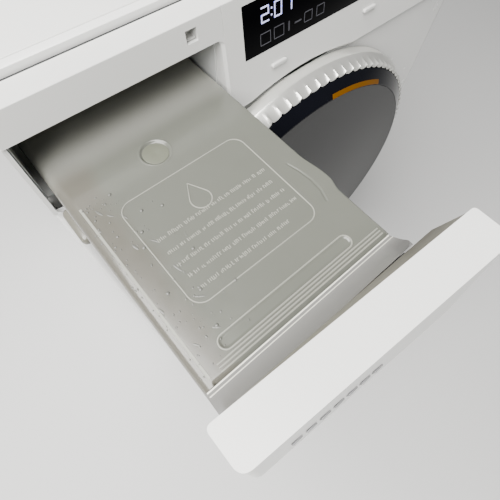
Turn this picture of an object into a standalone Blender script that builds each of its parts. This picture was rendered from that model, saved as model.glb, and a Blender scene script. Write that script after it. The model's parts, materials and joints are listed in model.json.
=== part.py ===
"""Front load washing machine, built as separate pieces in metres, +Z up, front towards -Y.

The origin is on the floor under the middle of the machine. The detergent drawer stands
fully open, which is its rest position. Most depths are counted from the console plane,
and the drawer pieces are placed from the top right corner of the bar over the drawer.
"""
import bpy
import bmesh
from math import cos, pi, radians, sin, sqrt
from mathutils import Matrix, Vector

# ---------------------------------------------------------------- driving dimensions
HALF_WIDTH = 0.299
HEIGHT = 0.850
BODY_DEPTH = 0.560            # console plane to the rear cover
FRONT_REACH = 0.2856          # console plane to the open drawer's foremost edge
CONSOLE_Y = (FRONT_REACH - BODY_DEPTH) / 2
REAR_Y = CONSOLE_Y + BODY_DEPTH
CONSOLE_TOP = 0.843
CONSOLE_HEIGHT = 0.0985
CONSOLE_DEPTH = 0.0225
FACE_LEAN = 0.159             # the face comes forward this much for each metre down
FACE_START = -0.0019
BAY_X = -0.1117               # right end of the bar over the drawer
BAR_HEIGHT = 0.0253
PANEL_FACE = -0.012           # front panel's face, from the console plane
PANEL_FOLD = 0.022
PLATE_FRONT = 0.0245          # front edge of the top plate, behind a dark gap
SHEET = 0.0012                # sheet steel
GAP = 0.0003                  # left between pieces that touch
SIDE_DEPTH = 0.0185
KICK_TOP = 0.0995
FLOOR_PAN = 0.018

DOOR_Z = 0.4875               # height of the door's, tub's and drum's common axis
DOOR_R = 0.2618
DOOR_HINGE_X = -0.2565
DOOR_HINGE_Y = -0.0220
PORTHOLE_R = 0.168

TRAY_FRONT = -0.2157
LID_TOP = -0.0648
LID_HINGE = (0.0560, -0.0690)
DRAWER_BOTTOM = -0.0915
FRONT_LEFT = -0.184
FRONT_RIGHT = 0.008

TUB_R = 0.264
DRUM_R = 0.245
PULLEY_R = 0.150
MOTOR_PULLEY_R = 0.0105
MOTOR_X = 0.030
MOTOR_Z = 0.155
PUMP_X = 0.215
PUMP_Z = 0.066
KNOB_X = 0.235
KNOB_DROP = 0.045
BUTTONS = {"button_left": (-0.0394, 0.0720), "button_right": (0.0983, 0.0685)}
KEY_HALF = (0.0100, 0.0021)   # half length and half height of a key
KEY_SHOWS = 0.0030            # how far a key stands over the face
ROUND = 36                    # sides of a large turned piece


# ---------------------------------------------------------------- scene and materials
for old in list(bpy.data.objects):
    bpy.data.objects.remove(old)

MODEL = bpy.data.collections.new("front_load_washing_machine")
CUTTERS = bpy.data.collections.new("cutters")
bpy.context.scene.collection.children.link(MODEL)
bpy.context.scene.collection.children.link(CUTTERS)


def material(name, colour, roughness, metallic=0.0):
    """A Principled material of one finish."""
    made = bpy.data.materials.new(name)
    made.use_nodes = True
    shader = made.node_tree.nodes["Principled BSDF"]
    shader.inputs["Base Color"].default_value = (*colour, 1.0)
    shader.inputs["Roughness"].default_value = roughness
    shader.inputs["Metallic"].default_value = metallic
    made.diffuse_color = (*colour, 1.0)
    return made


FINISHES = {
    "white_paint": ((0.86, 0.86, 0.85), 0.35, 0.0),
    "white_plastic": ((0.84, 0.85, 0.85), 0.30, 0.0),
    "grey_plastic": ((0.48, 0.48, 0.45), 0.35, 0.0),
    "translucent_plastic": ((0.60, 0.62, 0.56), 0.30, 0.0),
    "beige_plastic": ((0.50, 0.47, 0.41), 0.45, 0.0),
    "black_gloss": ((0.01, 0.01, 0.012), 0.10, 0.0),
    "silver": ((0.75, 0.75, 0.72), 0.25, 1.0),
    "smoke_cover": ((0.06, 0.063, 0.066), 0.15, 0.0),
    "glass": ((0.75, 0.80, 0.80), 0.05, 0.0),
    "amber": ((0.55, 0.20, 0.02), 0.35, 0.0),
    "steel": ((0.62, 0.62, 0.62), 0.30, 1.0),
    "zinc": ((0.55, 0.56, 0.58), 0.40, 1.0),
    "aluminium": ((0.66, 0.66, 0.66), 0.40, 1.0),
    "rubber": ((0.16, 0.16, 0.16), 0.70, 0.0),
    "black_rubber": ((0.02, 0.02, 0.02), 0.75, 0.0),
    "tub_plastic": ((0.70, 0.71, 0.70), 0.50, 0.0),
    "concrete": ((0.42, 0.41, 0.38), 0.90, 0.0),
    "circuit_green": ((0.03, 0.16, 0.06), 0.50, 0.0),
}


# ---------------------------------------------------------------- modelling helpers
def put(obj, finish=None):
    """Link a piece with its own material, or a cutter that is never rendered."""
    if finish is None:
        CUTTERS.objects.link(obj)
        obj.hide_render = True
        obj.display_type = "WIRE"
        return obj
    MODEL.objects.link(obj)
    obj.data.materials.append(material(obj.name, *FINISHES[finish]))
    return obj


def from_bmesh(name, bm, finish=None):
    mesh = bpy.data.meshes.new(name)
    bmesh.ops.recalc_face_normals(bm, faces=bm.faces)
    bm.to_mesh(mesh)
    bm.free()
    return put(bpy.data.objects.new(name, mesh), finish)


def box(name, x, y, z, finish=None, bevel=0.0, segments=2):
    """A box between the given pairs of limits."""
    bm = bmesh.new()
    bmesh.ops.create_cube(bm, size=1.0)
    size = Vector((x[1] - x[0], y[1] - y[0], z[1] - z[0]))
    middle = Vector((x[1] + x[0], y[1] + y[0], z[1] + z[0])) / 2
    bmesh.ops.scale(bm, vec=size, verts=bm.verts)
    bmesh.ops.translate(bm, vec=middle, verts=bm.verts)
    obj = from_bmesh(name, bm, finish)
    if bevel:
        soften(obj, bevel, segments)
    return obj


def soften(obj, width, segments=2):
    """Round the sharp edges of a piece."""
    rounding = obj.modifiers.new("rounded_edges", "BEVEL")
    rounding.width = width
    rounding.segments = segments
    rounding.limit_method = "ANGLE"
    rounding.angle_limit = radians(40)


def prism(name, outline, along, limits, finish=None):
    """An outline pushed along one axis: x takes (y, z) points, y (x, z) and z (x, y)."""
    place = {"x": lambda a, b, d: (d, a, b), "y": lambda a, b, d: (a, d, b), "z": lambda a, b, d: (a, b, d)}
    bm = bmesh.new()
    verts = [bm.verts.new(place[along](a, b, limits[0])) for a, b in outline]
    face = bm.faces.new(verts)
    pushed = bmesh.ops.extrude_face_region(bm, geom=[face])["geom"]
    step = Vector(place[along](0, 0, limits[1] - limits[0]))
    bmesh.ops.translate(bm, vec=step, verts=[v for v in pushed if isinstance(v, bmesh.types.BMVert)])
    return from_bmesh(name, bm, finish)


def turned(name, profile, centre, finish=None, steps=ROUND, axis=(0, 1, 0)):
    """A closed profile of (radius, distance along the axis) turned about the axis."""
    area = sum(a[0] * b[1] - b[0] * a[1] for a, b in zip(profile, profile[1:] + profile[:1]))
    points = profile if area < 0 else profile[::-1]
    mesh = bpy.data.meshes.new(name)
    edges = [(i, (i + 1) % len(points)) for i in range(len(points))]
    edges = [e for e in edges if points[e[0]][0] > 0 or points[e[1]][0] > 0]
    mesh.from_pydata([(r, 0, h) for r, h in points], edges, [])
    obj = put(bpy.data.objects.new(name, mesh), finish)
    screw = obj.modifiers.new("turned", "SCREW")
    screw.steps = steps
    screw.render_steps = steps
    screw.use_merge_vertices = True
    screw.merge_threshold = 0.00001
    obj.location = centre
    obj.rotation_mode = "QUATERNION"
    obj.rotation_quaternion = Vector(axis).to_track_quat("Z", "Y")
    return obj


def cylinder(name, centre, radius, limits, finish=None, steps=24, axis=(0, 1, 0)):
    """A plain round bar between two distances along the axis from centre."""
    low, high = limits
    return turned(name, [(0, high), (radius, high), (radius, low), (0, low)], centre, finish, steps, axis)


def arc_sweep(name, section, centre, start, end, steps, finish=None):
    """A closed (radius, y) section swept about the Y axis through centre, angles from +X up."""
    bm = bmesh.new()
    verts = [bm.verts.new((r * cos(start), y, r * sin(start))) for r, y in section]
    face = bm.faces.new(verts)
    geom = [face] + list(face.edges) + list(face.verts)
    bmesh.ops.spin(bm, geom=geom, cent=(0, 0, 0), axis=(0, -1, 0), angle=end - start, steps=steps)
    bmesh.ops.translate(bm, vec=centre, verts=bm.verts)
    return from_bmesh(name, bm, finish)


def boolean(obj, other, operation):
    change = obj.modifiers.new(other.name, "BOOLEAN")
    change.operation = operation
    change.solver = "EXACT"
    change.object = other
    return obj


def cut(obj, *cutters):
    for cutter in cutters:
        boolean(obj, cutter, "DIFFERENCE")
    return obj


def join(obj, *others):
    for other in others:
        boolean(obj, other, "UNION")
    return obj


def corner(centre, radius, start, end, steps=4):
    """Points of a round corner, angles in degrees."""
    turns = [radians(start + (end - start) * i / steps) for i in range(steps + 1)]
    return [(centre[0] + radius * cos(t), centre[1] + radius * sin(t)) for t in turns]


def smooth_path(points, per_span=5):
    """Catmull-Rom points through a hand-chosen route."""
    knots = [Vector(p) for p in points]
    knots = [2 * knots[0] - knots[1]] + knots + [2 * knots[-1] - knots[-2]]
    path = []
    for a, b, c, d in zip(knots, knots[1:], knots[2:], knots[3:]):
        for i in range(per_span):
            t = i / per_span
            path.append(0.5 * (2 * b + (c - a) * t + (2 * a - 5 * b + 4 * c - d) * t ** 2
                               + (3 * b - a - 3 * c + d) * t ** 3))
    return path + [knots[-2]]


def tube(name, path, radius, finish, resolution=2):
    """A hose, wire or pipe along a path."""
    curve = bpy.data.curves.new(name, "CURVE")
    curve.dimensions = "3D"
    curve.bevel_depth = radius
    curve.bevel_resolution = resolution
    curve.use_fill_caps = True
    line = curve.splines.new("POLY")
    line.points.add(len(path) - 1)
    for point, place in zip(line.points, path):
        point.co = (*place, 1.0)
    return put(bpy.data.objects.new(name, curve), finish)


def pivot(name, place, pieces):
    """An empty on a joint's axis that carries the pieces which move about it."""
    empty = bpy.data.objects.new(name, None)
    MODEL.objects.link(empty)
    empty.location = place
    for piece in pieces:
        piece.parent = empty
        piece.matrix_parent_inverse = Matrix.Translation(-Vector(place))
    return empty


def depth(y):
    """World Y of a distance behind the console plane."""
    return CONSOLE_Y + y


def bay(x, y, z):
    """World place of a point given from the bar's top right front corner."""
    return (BAY_X + x, CONSOLE_Y + y, CONSOLE_TOP + z)


def bay_box(name, x, y, z, finish=None, bevel=0.0):
    low = bay(x[0], y[0], z[0])
    high = bay(x[1], y[1], z[1])
    return box(name, (low[0], high[0]), (low[1], high[1]), (low[2], high[2]), finish, bevel)


def face_y(drop, behind=0.0):
    """World Y of the leaning console face at a drop below the console's top."""
    return CONSOLE_Y + FACE_START - FACE_LEAN * drop + behind


def leaning_slab(name, x, drops, behind, finish=None):
    """A slab that follows the leaning face, between two distances behind it."""
    top, bottom = drops
    outline = [
        (face_y(top, behind[0]), CONSOLE_TOP - top),
        (face_y(top, behind[1]), CONSOLE_TOP - top),
        (face_y(bottom, behind[1]), CONSOLE_TOP - bottom),
        (face_y(bottom, behind[0]), CONSOLE_TOP - bottom),
    ]
    return prism(name, outline, "x", x, finish)


FACE_NORMAL = Vector((0, -1, FACE_LEAN)).normalized()
DOOR_CENTRE = (0, CONSOLE_Y, DOOR_Z)


# ---------------------------------------------------------------- cabinet
def side_panel(name, side):
    """A folded side sheet: skin outside, flanges inwards except beside the console."""
    front, shelf, rear = depth(0.0105), depth(0.0232), REAR_Y - 0.0145
    low, step, top = 0.0305, 0.7440, 0.8258
    outer = [(front, low), (front, step), (shelf, step), (shelf, top), (rear, top), (rear, low)]
    inner = [(front + SHEET, low + SHEET), (front + SHEET, step - SHEET), (shelf - 0.002, step - SHEET),
             (shelf - 0.002, top - SHEET), (rear - SHEET, top - SHEET), (rear - SHEET, low + SHEET)]
    skin = side * HALF_WIDTH
    panel = prism(name, outer, "x", (skin - side * SIDE_DEPTH, skin), "white_paint")
    cut(panel, prism(name + "_hollow", inner, "x", (skin - side * 0.0215, skin - side * SHEET)))


def folded_front(name, z):
    """A front sheet with rounded vertical edges and folds running back."""
    front, back = depth(PANEL_FACE), depth(PANEL_FACE + PANEL_FOLD)
    radius = 0.008

    def plan(inset, rear):
        half = HALF_WIDTH - inset
        near = front + inset
        r = radius - inset
        return ([(-half, rear)] + corner((-half + r, near + r), r, 180, 270)
                + corner((half - r, near + r), r, 270, 360) + [(half, rear)])

    panel = prism(name, plan(0, back), "z", z, "white_paint")
    cut(panel, prism(name + "_hollow", plan(SHEET, back + 0.004), "z", (z[0] + SHEET, z[1] - SHEET)))
    return panel


def front_panel():
    panel = folded_front("front_panel", (0.1000, 0.7440))
    porthole = cylinder("porthole", DOOR_CENTRE, PORTHOLE_R, (-0.03, 0.03), steps=ROUND)
    slot = box("lock_slot", (0.2190, 0.2345), (depth(-0.03), depth(0.0)), (DOOR_Z - 0.016, DOOR_Z + 0.016))
    cut(panel, porthole, slot)


FLAP_X = (0.1600, 0.2700)
FLAP_Z = (0.0345, 0.0915)


def kick_panel():
    panel = folded_front("kick_panel", (0.0200, KICK_TOP))
    cut(panel, box("flap_window", FLAP_X, (depth(-0.03), depth(0.0)), FLAP_Z))
    x = (FLAP_X[0] + 0.0006, FLAP_X[1] - 0.0006)
    z = (FLAP_Z[0] + 0.0006, FLAP_Z[1] - 0.0006)
    y = (depth(PANEL_FACE), depth(PANEL_FACE + 0.0025))
    flap = box("service_flap", x, y, z, "white_plastic", 0.0008, 1)
    grip = box("flap_grip", (0.2050, 0.2250), (depth(-0.014), depth(-0.0108)), (z[1] - 0.006, z[1] + 0.002))
    cut(flap, grip)
    pivot("flap_pivot", (PUMP_X, depth(PANEL_FACE), z[0]), [flap])


VALVE = (-0.215, 0.765)
DRAIN = (0.225, 0.790)
GLAND = (0.225, 0.720)


def rear_panel():
    rear = REAR_Y - 0.0018
    panel = box("rear_panel", (-HALF_WIDTH, HALF_WIDTH), (rear - 0.0120, rear), (0.0305, 0.8258), "zinc")
    inside = HALF_WIDTH - SHEET
    hollow = box("rear_hollow", (-inside, inside), (rear - 0.0140, rear - SHEET), (0.0317, 0.8246))
    cut(panel, hollow)
    holes = (("valve", VALVE, 0.0150), ("drain", DRAIN, 0.0140), ("gland", GLAND, 0.0060))
    for name, place, radius in holes:
        cut(panel, cylinder(name + "_hole", (place[0], rear, place[1]), radius, (-0.02, 0.02)))
    ring = [(0.150, 0.0018), (0.176, 0.0018), (0.179, -0.0004), (0.147, -0.0004)]
    join(panel, turned("pressed_ring", ring, (0, rear, DOOR_Z)))
    grommet = [(0.0045, -0.0120), (0.0085, -0.0120), (0.0110, -0.0004), (0.0110, 0.0016), (0.0045, 0.0016)]
    join(panel, turned("power_gland", grommet, (GLAND[0], rear, GLAND[1]), steps=20))


def top_plate():
    z = (0.8262, HEIGHT)
    box("top_plate", (-HALF_WIDTH, HALF_WIDTH), (depth(PLATE_FRONT), REAR_Y), z, "white_plastic", 0.0024, 3)


FEET = {"foot_front_left": (-0.255, 0.055), "foot_front_right": (0.255, 0.055),
        "foot_rear_left": (-0.255, 0.500), "foot_rear_right": (0.255, 0.500)}


def base():
    x = (-HALF_WIDTH + 0.0005, HALF_WIDTH - 0.0005)
    y = (depth(0.0105), REAR_Y - 0.0145)
    tray = box("base_tray", x, y, (FLOOR_PAN, 0.0300), "zinc")
    wall = 0.0020
    cut(tray, box("base_hollow", (x[0] + wall, x[1] - wall), (y[0] + wall, y[1] - wall), (0.0200, 0.0400)))
    foot = [(0, 0.048), (0.0050, 0.048), (0.0050, 0.0177), (0.0130, 0.0177), (0.0130, 0.0100),
            (0.0200, 0.0080), (0.0210, 0.0015), (0.0195, 0.0), (0, 0.0)]
    for name, (foot_x, foot_y) in FEET.items():
        place = (foot_x, depth(foot_y), 0)
        cut(tray, cylinder(name + "_hole", place, 0.0056, (0.0, 0.04), steps=10, axis=(0, 0, 1)))
        turned(name, foot, place, "black_rubber", 12, (0, 0, 1))


# ---------------------------------------------------------------- console
WINDOW_X = (-0.0812, 0.1720)
WINDOW_DROP = (0.0081, 0.0545)


def console_shape(name, inset, x, rear, finish=None):
    low = CONSOLE_TOP - CONSOLE_HEIGHT + inset
    top = CONSOLE_TOP - inset
    near_low = face_y(CONSOLE_TOP - low, inset)
    near_top = face_y(CONSOLE_TOP - top, inset)
    return prism(name, [(near_low, low), (near_top, top), (rear, top), (rear, low)], "x", x, finish)


def slim_key(name, x, drop, half, out, finish=None):
    """A slim key shape standing on the leaning face, from and to the given heights over it."""
    outline = (corner((half[0] - half[1], 0), half[1], -90, 90, 4)
               + corner((half[1] - half[0], 0), half[1], 90, 270, 4))
    key = prism(name, outline, "z", out, finish)
    key.location = (x, face_y(drop), CONSOLE_TOP - drop)
    key.rotation_mode = "QUATERNION"
    key.rotation_quaternion = FACE_NORMAL.to_track_quat("Z", "Y")
    return key


def console():
    wall = 0.003
    body = console_shape("console", 0.0, (-HALF_WIDTH, HALF_WIDTH), depth(CONSOLE_DEPTH), "white_plastic")
    soften(body, 0.0022, 2)
    inside = HALF_WIDTH - wall
    cut(body, console_shape("console_hollow", wall, (-inside, inside), depth(0.030)))
    right, top, r = BAY_X + 0.0065, CONSOLE_TOP - BAR_HEIGHT, 0.0065
    low = CONSOLE_TOP - 0.110
    opening = [(-0.2955, low), (-0.2955, top)] + corner((right - r, top - r), r, 90, 0) + [(right, low)]
    cut(body, prism("drawer_opening", opening, "y", (depth(-0.06), depth(0.04))))
    cut(body, leaning_slab("drawer_step", (-0.310, BAY_X + 0.010), (BAR_HEIGHT, 0.120), (-0.04, 0.0025)))
    cut(body, cylinder("door_scoop", DOOR_CENTRE, DOOR_R + 0.0022, (-0.06, 0.018), steps=96))
    low, high = CONSOLE_TOP - WINDOW_DROP[1], CONSOLE_TOP - WINDOW_DROP[0]
    cut(body, box("window_opening", WINDOW_X, (depth(-0.03), depth(0.006)), (low, high)))
    strip = (-BAR_HEIGHT, 0.0025 - BAR_HEIGHT)
    under_bar = bay_box("under_bar", (-0.1843, 0.0066), (-0.0030, 0.0215), strip)
    near, deep, sill = 0.0030, depth(0.0120), 0.0950
    wall_top = BAR_HEIGHT - 0.0020
    side_wall = [(face_y(wall_top, near), CONSOLE_TOP - wall_top), (deep, CONSOLE_TOP - wall_top),
                 (deep, CONSOLE_TOP - sill), (face_y(sill, near), CONSOLE_TOP - sill)]
    opening_wall = prism("opening_wall", side_wall, "x", (right, right + 0.0024))
    pocket = bay_box("notch_pocket", (-0.0276, -0.0145), (0.0, 0.0085), (-0.0179, -0.0056))
    join(body, under_bar, opening_wall, pocket)
    cut(body, bay_box("notch", (-0.0266, -0.0155), (-0.02, 0.0075), (-0.0169, -0.0066)))
    knob_place = (KNOB_X, face_y(KNOB_DROP), CONSOLE_TOP - KNOB_DROP)
    cut(body, cylinder("knob_hole", knob_place, 0.0036, (-0.010, 0.010), steps=16, axis=FACE_NORMAL))
    for name, (x, drop) in BUTTONS.items():
        hole = (KEY_HALF[0] + GAP, KEY_HALF[1] + GAP)
        cut(body, slim_key(name + "_hole", x, drop, hole, (-0.010, 0.010)))
        key = slim_key(name, x, drop, KEY_HALF, (-0.0045, KEY_SHOWS), "white_plastic")
        pivot(name + "_guide", (x, face_y(drop), CONSOLE_TOP - drop), [key])
    window_x = (WINDOW_X[0] + GAP, WINDOW_X[1] - GAP)
    drops = (WINDOW_DROP[0] + GAP, WINDOW_DROP[1] - GAP)
    leaning_slab("display_window", window_x, drops, (-0.0002, 0.0024), "black_gloss")
    leaning_slab("control_board", (-0.085, 0.270), (0.0120, 0.0850), (0.0085, 0.0103), "circuit_green")
    knob = [(0, 0.0165), (0.0225, 0.0165), (0.0248, 0.0145), (0.0270, 0.0010),
            (0.0032, 0.0010), (0.0032, -0.0060), (0, -0.0060)]
    dial = turned("knob", knob, (0, 0, 0), "white_plastic", 32, FACE_NORMAL)
    dial.location = knob_place
    x = (KNOB_X - 0.0008, KNOB_X + 0.0008)
    y = (depth(-0.040), face_y(KNOB_DROP) - 0.0160)
    pointer = box("knob_mark", x, y, (knob_place[2] + 0.013, knob_place[2] + 0.022))
    cut(dial, pointer)
    pivot("knob_axis", knob_place, [dial])


# ---------------------------------------------------------------- detergent drawer
def dispenser_housing():
    x, y, z = (-0.1835, 0.0062), (0.0030, 0.3020), (-0.0955, -0.0257)
    housing = bay_box("dispenser_housing", x, y, z, "tub_plastic")
    cut(housing, bay_box("dispenser_hollow", (-0.1825, 0.0050), (-0.01, 0.3005), (-0.0943, -0.0268)))
    drain = bay(-0.0733, 0.2500, -0.1)
    cut(housing, cylinder("dispenser_drain", drain, 0.0150, (-0.02, 0.02), axis=(0, 0, 1)))


def front_back_y(x):
    """Back edge of the drawer front's top face."""
    return -0.2338 - 0.0524 * (x - FRONT_LEFT)


def front_near_y(x):
    """Front edge of the drawer front's top face."""
    return -0.2592 - 0.0655 * (x - FRONT_LEFT)


def lean(obj, top):
    """Lean a drawer piece like the console face, pivoting at its top."""
    for vert in obj.data.vertices:
        vert.co.y -= FACE_LEAN * (CONSOLE_TOP + top - vert.co.z)


def drawer_front():
    top, wall, r = -0.002, 0.0028, 0.007
    left, right = FRONT_LEFT, FRONT_RIGHT
    near_left, near_right = front_near_y(left), front_near_y(right)
    outline = ([(left, front_back_y(left))] + corner((left + r, near_left + r), r, 180, 266)
               + corner((right - r, near_right + r), r, 266, 360) + [(right, front_back_y(right))])
    outline = [(BAY_X + x, CONSOLE_Y + y) for x, y in outline]
    z = (CONSOLE_TOP + DRAWER_BOTTOM, CONSOLE_TOP + top)
    shell = prism("drawer_front", outline, "z", z, "white_plastic")
    lean(shell, top)
    soften(shell, 0.0024, 3)
    inner = [(left + wall, -0.2240), (left + wall, front_near_y(left) + 2 * wall),
             (right - wall, front_near_y(right) + 2 * wall), (right - wall, -0.2240)]
    inner = [(BAY_X + x, CONSOLE_Y + y) for x, y in inner]
    hollow = prism("drawer_front_hollow", inner, "z", (z[0] + wall, z[1] - wall))
    lean(hollow, top)
    cut(shell, hollow)
    return shell


def drawer_backplate():
    """The beige wedge that closes the front's hollow: a loft between two unlike sections."""
    top, knee, low = -0.0052, -0.0370, -0.0883

    def section(x):
        back = front_back_y(x)
        return [(back - 0.006, top), (back, top), (-0.2352, knee),
                (-0.2352 - FACE_LEAN * (knee - low), low), (back - FACE_LEAN * (top - low) - 0.006, low)]

    bm = bmesh.new()
    rings = []
    for x in (FRONT_LEFT + 0.0032, FRONT_RIGHT - 0.0032):
        rings.append([bm.verts.new(bay(x, y, z)) for y, z in section(x)])
    for ring in rings:
        bm.faces.new(ring)
    for i in range(5):
        j = (i + 1) % 5
        bm.faces.new((rings[0][i], rings[0][j], rings[1][j], rings[1][i]))
    return from_bmesh("drawer_backplate", bm, "beige_plastic")


def drawer_cove():
    """The curved riser between the lid and the drawer front."""
    near, low, high = -0.2348, DRAWER_BOTTOM + 0.001, -0.0355
    curve_y, curve_z = 0.0184, -0.0655
    arc = [radians(9 * i) for i in range(11)]
    reach = [(sin(t) + t / radians(90)) / 2 for t in arc]
    rise = [(cos(t) + 1 - t / radians(90)) / 2 for t in arc]
    hollow = [(TRAY_FRONT - GAP - curve_y * u, high + (curve_z - high) * v) for u, v in zip(reach, rise)]
    outline = [(TRAY_FRONT - GAP, low)] + hollow + [(near, high), (near, low)]
    outline = [(CONSOLE_Y + y, CONSOLE_TOP + z) for y, z in outline]
    riser = prism("drawer_cove", outline, "x", (BAY_X - 0.1765, BAY_X - 0.0015), "grey_plastic")
    r = 0.018
    end = BAY_X - 0.0015
    top = CONSOLE_TOP + high
    trim = [(end + 0.005, top - r), (end + 0.005, top + 0.005), (end - r, top + 0.005)]
    trim = trim + corner((end - r, top - r), r, 90, 0)
    cut(riser, prism("cove_corner", trim, "y", (depth(-0.25), depth(-0.20))))
    return riser


def lid_lug(name, x, finish=None):
    return bay_box(name, (x - 0.006, x + 0.006), (0.0475, 0.0590), (-0.0716, -0.0664), finish)


def lid_pin_hole(name):
    place = bay(-0.170, LID_HINGE[0], LID_HINGE[1])
    return cylinder(name, place, 0.0014, (0.0, 0.160), steps=12, axis=(1, 0, 0))


def drawer_tray():
    rim = -0.0738
    y = (TRAY_FRONT + GAP, 0.0550)
    tray = bay_box("drawer_tray", (-0.1740, -0.0030), y, (DRAWER_BOTTOM, rim), "translucent_plastic")
    back = 0.0526
    front = TRAY_FRONT + 0.0025
    top = rim + 0.01
    floor = DRAWER_BOTTOM + 0.0020
    cut(tray, bay_box("detergent_room", (-0.1718, -0.0640), (front, back), (floor, top)))
    cut(tray, bay_box("softener_room", (-0.0618, -0.0052), (front, back), (floor, top)))
    boss = bay_box("guide_boss", (-0.1820, -0.1735), (-0.0650, -0.0270), (-0.0912, -0.0804))
    join(tray, boss)
    for index, x in enumerate((-0.150, -0.088, -0.026)):
        lug = bay_box("tray_lug_%d" % index, (x - 0.004, x + 0.004), (0.0528, 0.0595), (-0.0760, -0.0660))
        join(tray, lug)
    pin_place = bay(-0.165, LID_HINGE[0], LID_HINGE[1])
    join(tray, cylinder("lid_hinge_pin", pin_place, 0.0011, (0.0, 0.150), steps=12, axis=(1, 0, 0)))
    return tray


def drawer_lid():
    """A cap over the tray: rolled left edge, straight right skirt, finger tab and a pressed ring."""
    thick, skirt, bend = 0.0022, -0.0800, 0.0088
    left = -0.1680
    under = LID_TOP - thick
    roll = (left, LID_TOP - bend)
    outline = ([(0.0, skirt), (0.0, LID_TOP)] + corner(roll, bend, 90, 180, 5)
               + [(left - bend, skirt), (left - bend + thick, skirt)]
               + corner(roll, bend - thick, 180, 90, 5) + [(-thick, under), (-thick, skirt)])
    outline = [(BAY_X + x, CONSOLE_TOP + z) for x, z in outline]
    lid = prism("drawer_lid", outline, "y", (depth(TRAY_FRONT), depth(0.0500)), "translucent_plastic")
    bulge = [(-0.006, -0.170), (-0.006, -0.112), (0.0002, -0.120), (0.0022, -0.130), (0.0034, -0.142),
             (0.0034, -0.152), (0.0016, -0.160), (0.0002, -0.164)]
    bulge = [(BAY_X + x, CONSOLE_Y + y) for x, y in bulge]
    z = (CONSOLE_TOP + under + 0.0002, CONSOLE_TOP + LID_TOP - 0.0002)
    join(lid, prism("finger_tab", bulge, "z", z))
    for index, x in enumerate((-0.119, -0.057)):
        join(lid, lid_lug("lid_lug_%d" % index, x))
    cut(lid, lid_pin_hole("lid_pin_hole"))
    dimple = bay(-0.0925, -0.0389, LID_TOP)
    cut(lid, cylinder("dimple", dimple, 0.0125, (-0.0010, 0.01), steps=32, axis=(0, 0, 1)))
    rib = bay_box("front_rib", (-0.1490, -0.0290), (-0.2040, -0.1940), (LID_TOP - 0.0005, LID_TOP + 0.0009))
    join(lid, rib)
    return lid


def drawer():
    front = drawer_front()
    backplate = drawer_backplate()
    cove = drawer_cove()
    tray = drawer_tray()
    lid = drawer_lid()
    slide = pivot("drawer_slide", bay(0, 0, LID_TOP), [front, backplate, cove, tray])
    hinge = pivot("lid_pivot", bay(-0.09, LID_HINGE[0], LID_HINGE[1]), [lid])
    hinge.parent = slide
    hinge.matrix_parent_inverse = Matrix.Translation(-slide.location)


# ---------------------------------------------------------------- door
def hinge_notch(name):
    """Room in the rim for the hinge bracket while the door swings."""
    return box(name, (-0.2700, -0.2320), (depth(-0.0278), depth(-0.010)), (DOOR_Z - 0.0465, DOOR_Z + 0.0465))


def door():
    trim = [(0.2618, -0.0150), (0.2618, -0.0280), (0.2602, -0.0304), (0.2570, -0.0350), (0.2506, -0.0430),
            (0.2499, -0.0430), (0.2499, -0.0400), (0.2545, -0.0330), (0.2580, -0.0280), (0.2580, -0.0150)]
    trim_ring = turned("door_trim_ring", trim, DOOR_CENTRE, "silver", 48)
    cut(trim_ring, hinge_notch("trim_notch"))
    ring = [(0.2495, -0.0340), (0.2495, -0.0432), (0.2480, -0.0442), (0.2335, -0.0522), (0.2325, -0.0525),
            (0.2325, -0.0470), (0.2400, -0.0430), (0.2400, -0.0340)]
    black_ring = turned("door_black_ring", ring, DOOR_CENTRE, "black_gloss", 48)
    cover = [(0, -0.0500), (0.140, -0.0500), (0.160, -0.0506), (0.2321, -0.0524), (0.2321, -0.0494),
             (0.160, -0.0476), (0.140, -0.0470), (0, -0.0470)]
    dark_cover = turned("door_cover", cover, DOOR_CENTRE, "smoke_cover", 48)
    accent = [(0.2342, -0.05255), (0.2385, -0.0502), (0.2388, -0.0507), (0.2342, -0.0532)]
    amber = arc_sweep("door_accent", accent, DOOR_CENTRE, radians(62), radians(86), 8, "amber")
    frame = [(0.2576, -0.0262), (0.2576, -0.0152), (0.1580, -0.0152), (0.1580, -0.0180), (0.2400, -0.0180),
             (0.2400, -0.0336), (0.2440, -0.0336), (0.2440, -0.0180), (0.2546, -0.0180), (0.2546, -0.0262)]
    inner_frame = turned("door_inner_frame", frame, DOOR_CENTRE, "white_plastic", 48)
    cut(inner_frame, hinge_notch("frame_notch"))
    bowl = [(0, 0.0720), (0.060, 0.0700), (0.105, 0.0620), (0.135, 0.0400), (0.150, 0.0050),
            (0.1545, -0.0183), (0.1680, -0.0183), (0.1680, -0.0225), (0.1500, -0.0225), (0.1455, 0.0030),
            (0.1310, 0.0360), (0.1020, 0.0570), (0.060, 0.0650), (0, 0.0670)]
    glass = turned("door_glass", bowl, DOOR_CENTRE, "glass", 28)
    z = (DOOR_Z - 0.010, DOOR_Z + 0.010)
    hook = box("door_hook", (0.2225, 0.2285), (depth(-0.0160), depth(0.0120)), z)
    z = (DOOR_Z - 0.020, DOOR_Z + 0.020)
    claw = box("hook_gap", (0.2180, 0.2262), (depth(0.0000), depth(0.0070)), z)
    cut(hook, claw)
    join(inner_frame, hook)
    hinge_leaf = door_hinge()
    pieces = [trim_ring, black_ring, dark_cover, amber, inner_frame, glass, hinge_leaf]
    pivot("door_pivot", (DOOR_HINGE_X, depth(DOOR_HINGE_Y), DOOR_Z), pieces)


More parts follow.
